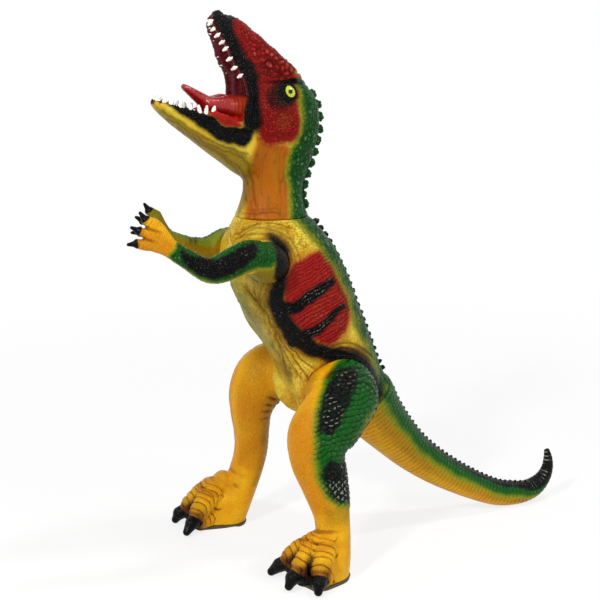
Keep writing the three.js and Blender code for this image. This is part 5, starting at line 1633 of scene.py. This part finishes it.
def paint_arm(made, name, side):
    p, n, paint = made.p.copy(), made.normals(), made.paint
    y, z = p[:, 1], p[:, 2]
    rows = mirrored(ARMS[name], side)
    share, up = limb(p, rows, side)
    model = p if name == "left" else twin(p, rows, side, np.array(ARMS["left"], float))
    px = frayed(model)
    fingers = finger_points(name, side)
    wrist, elbow_share = WRIST[name], ELBOW[name]
    outer = window(up, -92, 100, 12)
    hand = smooth(wrist - 0.03, wrist + 0.03, share + 0.01 * clouds(p, 6, 4))
    green = inside(px, ARM_GREEN, 5.0) * outer * (1 - hand)
    lower_rim = smooth(-62, -84, up)
    inward = smooth(0.1, 0.6, -side * n[:, 0])
    black = inside(px, ARM_BLACK, 4.4) * window(up, -75, 75, 12) * (1 - hand)
    black = np.clip(black * 1.25 + 0.35 * window(black, 0.1, 0.7, 0.1) * clouds(p, 3.5, 9), 0, 1)
    stripe = along_line(px, EDGE_STRIPE[:5], STRIPE_WIDTHS[:5], 4) * (share < 0.12)
    claw, knuckle, between = np.zeros((3, len(p)))
    for root, tip, end in fingers:
        gap, claw_share = line_distance(p, np.array([tip, end]))
        width = np.interp(claw_share, [0, 1], [4.4, 2.8])
        claw = over(claw, (1 - smooth(-0.2, 0.5, gap - width)) * smooth(0.0, 0.15, claw_share))
        way = unit(tip - root)
        bow = (p - root) @ way
        close = 1 - smooth(3.6, 5.0, np.linalg.norm(p - root - bow[:, None] * way, axis=1))
        knuckle = over(knuckle, close * groove((bow + 1) % 3.2 - 1.6, 0.5) * window(bow, 0, 9, 1.5))
    small = cells(p, 2.8, 6)
    long = np.linalg.norm(np.diff(rows[:, :3], axis=0), axis=1).sum()
    rings = ridges(share * long / 3.6 + 0.35 * clouds(p, 8, 2), 2.2)
    fan = unit(fingers[2][0] - fingers[0][0])
    for offset in (-0.5, 0.5):
        middle = fingers[1][0] + offset * FINGER_GAP * fan
        across = (p - middle) @ fan
        between = over(between, groove(across, 1.1) * smooth(wrist + 0.1, wrist + 0.22, share))
    height = RELIEF["arm"] * (small - 0.45) * over(green, 0.4 * (1 - green))
    height = (1 - hand) * (height + RELIEF["arm rings"] * over(green, black) * (rings - 0.5))
    height -= hand * (1 - claw) * (RELIEF["knuckles"] * knuckle + RELIEF["finger gaps"] * between)
    elbow = groove((share - elbow_share) * 60, 1.0) + groove((share - elbow_share - 0.045) * 60, 0.8)
    elbow = np.clip(elbow, 0, 1) * window(up, 55, 150, 20)
    made.lift((height - RELIEF["elbow"] * elbow) * edge_fade(p, side, SHOULDER, SHOULDER_RADIUS) * (1 - claw))
    back_of_dome = smooth(-2, 6, y - 6) * (share < 0.2)
    paint["green"] = over(
        green * (1 - 0.85 * lower_rim),
        0.42 * (1 - hand) * window(np.abs(up), 78, 150, 14),
        0.22 * hand * inward,
    )
    paint["black"] = over(black, claw, stripe, 0.5 * back_of_dome * (z < 268))
    paint["olive"] = over(
        0.7 * (1 - hand) * smooth(70, 110, np.abs(up + 5)),
        0.85 * (1 - smooth(0.1, 0.24, share)) * (1 - green) * (1 - smooth(258, 266, z)),
        0.25 * hand * smooth(20, 80, -up),
        0.75 * hand * inward,
    )
    elbow_glow = window(share, 0.25, 0.5, 0.06) * smooth(110, 150, np.abs(up))
    paint["orange"] = over(0.5 * hand * (1 - smooth(20, 80, up)) * (1 - inward), 0.5 * elbow_glow)
    wrist_edge = 0.35 * hand * (1 - smooth(0, 0.05, share - wrist)) * (up < 20)
    # Painted shade: brown in the gaps between the fingers.
    paint["brown"] = over(0.5 * hand * between, wrist_edge)
    # Painted shade in the knuckles, between the fingers, at the elbow and between the scales.
    paint["crease_shade"] = over(
        hand * (1 - claw) * over(0.35 * knuckle, 0.45 * between),
        0.7 * elbow,
        0.5 * green * (1 - hand) * (1 - smooth(0, 0.5, small)),
    )
    paint["pebble"] = over(0.3 * (1 - claw), 0.9 * black)
    patchy = smooth(-0.3, 0.5, clouds(p, 7, 12))
    coats = over(0.3 * black, 0.26 * stripe, 0.32 * green)
    # Painted highlights on the scales of the black, the stripe and the green.
    paint["painted_highlight"] = patchy * smooth(0.72, 0.95, small) * coats * (1 - claw)
    made.soften(6, "olive", "orange", "brown", "green")
    made.soften(3, "black")


for side_name, side_sign in (("left", 1), ("right", -1)):
    leg_skin = leg_field(side_name, side_sign).mesh()
    paint_leg(leg_skin, side_name, side_sign)
    body = "leg_" + side_name
    leg_skin.make("leg_skin_" + side_name, body, "leg_shell_" + side_name, "limb_vinyl", LIMB_VINYL)
    sole_skin = sole_field(side_name, side_sign).mesh(2)
    sole_skin.make("sole_" + side_name, body, "foot_sole_" + side_name, "sole_pad", SOLE)
    arm_skin = arm_field(side_name, side_sign).mesh()
    paint_arm(arm_skin, side_name, side_sign)
    body = "arm_" + side_name
    arm_skin.make("arm_skin_" + side_name, body, "arm_shell_" + side_name, "limb_vinyl", LIMB_VINYL)


# Tail

TAIL = [
    [0, 95.3, 130.3, 28, 28],
    [0, 100.8, 124.2, 28, 28],
    [0, 112.3, 107.6, 24.8, 24.8],
    [0, 130, 87.2, 20.7, 20.7],
    [0, 149.5, 67.8, 17.7, 17.7],
    [0, 171.8, 50.7, 15.7, 15.7],
    [0, 194.2, 36.8, 14.2, 14.2],
    [0, 217.6, 24.3, 12.9, 12.9],
    [0, 239.5, 14.9, 12.0, 12.0],
    [0, 257.2, 11.5, 11.5, 11.2],
    [0, 271.7, 11.0, 10.2, 9.8],
    [0, 282.9, 14.2, 8.8, 8.8],
    [0, 291.8, 21.3, 7.0, 7.0],
    [0, 296.4, 30.9, 5.4, 5.4],
    [0, 296.6, 40.9, 4.0, 4.0],
    [0, 294.8, 48.8, 2.4, 2.4],
]


def upward(tangent):
    """The way up from a path in the middle plane."""
    return np.stack([np.zeros(len(tangent)), -tangent[:, 2], tangent[:, 1]], axis=1)


def tail_field():
    field = Field([-34, 66, -1], [34, 312, 158], STEPS["tail"])
    field.add(tube(TAIL))
    rows = curve(TAIL, LIMB_STEPS)
    path, tangent, _, _ = spine(rows[:, :3])
    top = path + upward(tangent) * (rows[:, 3:4] - 0.6)
    tops = crest(field, top[9:-8:5], 5.6, (2.5, 1.5), (3.1, 1.8), lean=0.1)
    field.plane(TAIL_SEAT + TAIL_AXIS * SEAM, -TAIL_AXIS)
    field.within(SEAM - field.grid[2])
    return field, tops


def paint_tail(made, tops):
    p, paint = made.p.copy(), made.paint
    share, _ = limb(p, TAIL, 1)
    rows = curve(TAIL, LIMB_STEPS)
    path, tangent, _, _ = spine(rows[:, :3])
    index = np.round(share * (len(path) - 1)).astype(int)
    radius = rows[index, 3]
    away = p - path[index]
    rise = dot(away, upward(tangent)[index]) / radius
    along = length_along(path)[index] + dot(away, tangent[index])
    bend = 0.08 * clouds(p, 9, 3) + 0.1 * clouds(p, 3.5, 8)
    level = np.interp(share, [0, 0.1, 0.35, 0.6, 0.75, 0.85], [0.2, 0.22, 0.2, 0.05, -0.6, -1.5])
    green = smooth(level - 0.4, level + 0.4, rise + bend)
    black = smooth(level + 0.35, level + 0.85, rise + bend)
    black = black * np.interp(share, [0, 0.15, 0.4, 0.8], [0.45, 0.7, 0.85, 0.95])
    phase = along / np.interp(share, [0, 1], [4.6, 3.0]).mean()
    file = np.arctan2(p[:, 0], rise * radius) * radius / 4.2
    rings = ridges(phase, 2.4)
    scales = rings * (0.4 + 0.6 * ridges(file))
    knob = near(p, tops, 2.2, 3.8)
    fade = smooth(1.0, 5.0, (p - TAIL_SEAT) @ TAIL_AXIS)
    taper = np.interp(share, [0, 0.8, 1], [1, 0.7, 0.3])
    relief = RELIEF["tail"] * (np.where(green > 0.5, scales, rings) - 0.55)
    made.lift(fade * taper * relief * (1 - knob))
    paint["green"] = green
    paint["black"] = over(black, 0.8 * knob)
    paint["orange"] = 0.35 * (1 - green) * smooth(0.1, 0.9, share)
    paint["olive"] = over(0.55 * window(rise + bend, level - 0.75, level + 0.1, 0.3), 0.3 * (1 - green))
    paint["brown"] = 0.2 * (1 - green) * smooth(0.3, 0.8, share)
    # Painted shade between the rings and the scales.
    paint["crease_shade"] = over(
        0.75 * (1 - green) * (1 - smooth(0, 0.55, rings)),
        0.6 * green * (1 - smooth(0, 0.6, scales)),
    )
    paint["pebble"] = 0.4 * green
    patchy = smooth(-0.6, 0.4, clouds(p, 9, 12))
    # Painted highlights on the rings of the black tip and on the green scales.
    paint["painted_highlight"] = patchy * over(
        0.75 * black * smooth(0.55, 0.8, share) * glints(phase, 0.5, 0.16) * smooth(0.1, 0.6, rise),
        0.4 * green * glints(phase, file, 0.14),
    )
    made.soften(14, "orange", "green", "olive")
    made.soften(5, "black")


TAIL_FIELD, TAIL_TOPS = tail_field()
tail_skin = TAIL_FIELD.mesh()
paint_tail(tail_skin, TAIL_TOPS)
tail_skin.make("tail_skin", "tail", "tail_shell", "tail_vinyl", LIMB_VINYL)


# Connectors

for name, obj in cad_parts.items():
    if "connector" in name:
        obj.data.materials.clear()
        obj.data.materials.append(CONNECTOR)


# Floor, light and camera

# The floor is white to the camera and in reflections further from the middle, and keeps the shadow near it
floor_nodes = Nodes(bpy.data.materials.new("floor"))
floor_nodes.set("Base Color", srgb(252, 252, 252))
floor_nodes.set("Roughness", 0.9)
white = floor_nodes.node("Emission", {"Strength": 1.0})
ground = floor_nodes.node("VectorMath", {0: floor_nodes.place}, operation="LENGTH")
share = floor_nodes.range(ground.outputs["Value"], 0.25, 1.1, 0.8, 1.0)
either = floor_nodes.node("MixShader", {
    "Fac": floor_nodes.math("MULTIPLY", floor_nodes.watched(), share),
    1: floor_nodes.shader.outputs["BSDF"],
    2: white.outputs["Emission"],
})
floor_nodes.put(floor_nodes.tree.nodes["Material Output"].inputs["Surface"], either.outputs["Shader"])

FLOOR = 6
floor_mesh = bpy.data.meshes.new("floor")
corners = [(x * FLOOR, y * FLOOR, 0) for x, y in ((-1, -1), (1, -1), (1, 1), (-1, 1))]
floor_mesh.from_pydata(corners, [], [(0, 1, 2, 3)])
floor_mesh.materials.append(floor_nodes.owner)
floor = bpy.data.objects.new("floor", floor_mesh)
bpy.context.scene.collection.objects.link(floor)

world = bpy.data.worlds.new("studio")
bpy.context.scene.world = world
sky = Nodes(world, "Background")
sky.set("Color", (1, 1, 1, 1))
sky.set("Strength", sky.range(sky.watched(), 0.0, 1.0, 0.42, 1.0, "LINEAR"))


def lamp(name, place, target, power, size):
    data = bpy.data.lights.new(name, "AREA")
    data.energy = power
    data.size = size
    obj = bpy.data.objects.new(name, data)
    obj.location = place
    obj.rotation_euler = (Vector(target) - Vector(place)).to_track_quat("-Z", "Y").to_euler()
    bpy.context.scene.collection.objects.link(obj)


lamp("key", (1.0, -1.5, 1.5), (0, 0, 0.22), 27, 0.2)
lamp("fill", (1.6, 1.0, 0.9), (0, 0, 0.2), 6, 0.2)
lamp("top", (0.3, 0.3, 1.8), (0, 0, 0.2), 9, 0.16)

camera_data = bpy.data.cameras.new("camera")
camera_data.lens = LENS
camera_data.sensor_width = SENSOR
camera_data.clip_start = 0.01
camera = bpy.data.objects.new("camera", camera_data)
camera.location = (VIEWPOINT + SHIFT) * MM
camera.rotation_euler = Vector(FORWARD).to_track_quat("-Z", "Y").to_euler()
bpy.context.scene.collection.objects.link(camera)
bpy.context.scene.camera = camera
bpy.context.scene.view_settings.view_transform = "Standard"

bpy.context.view_layer.update()
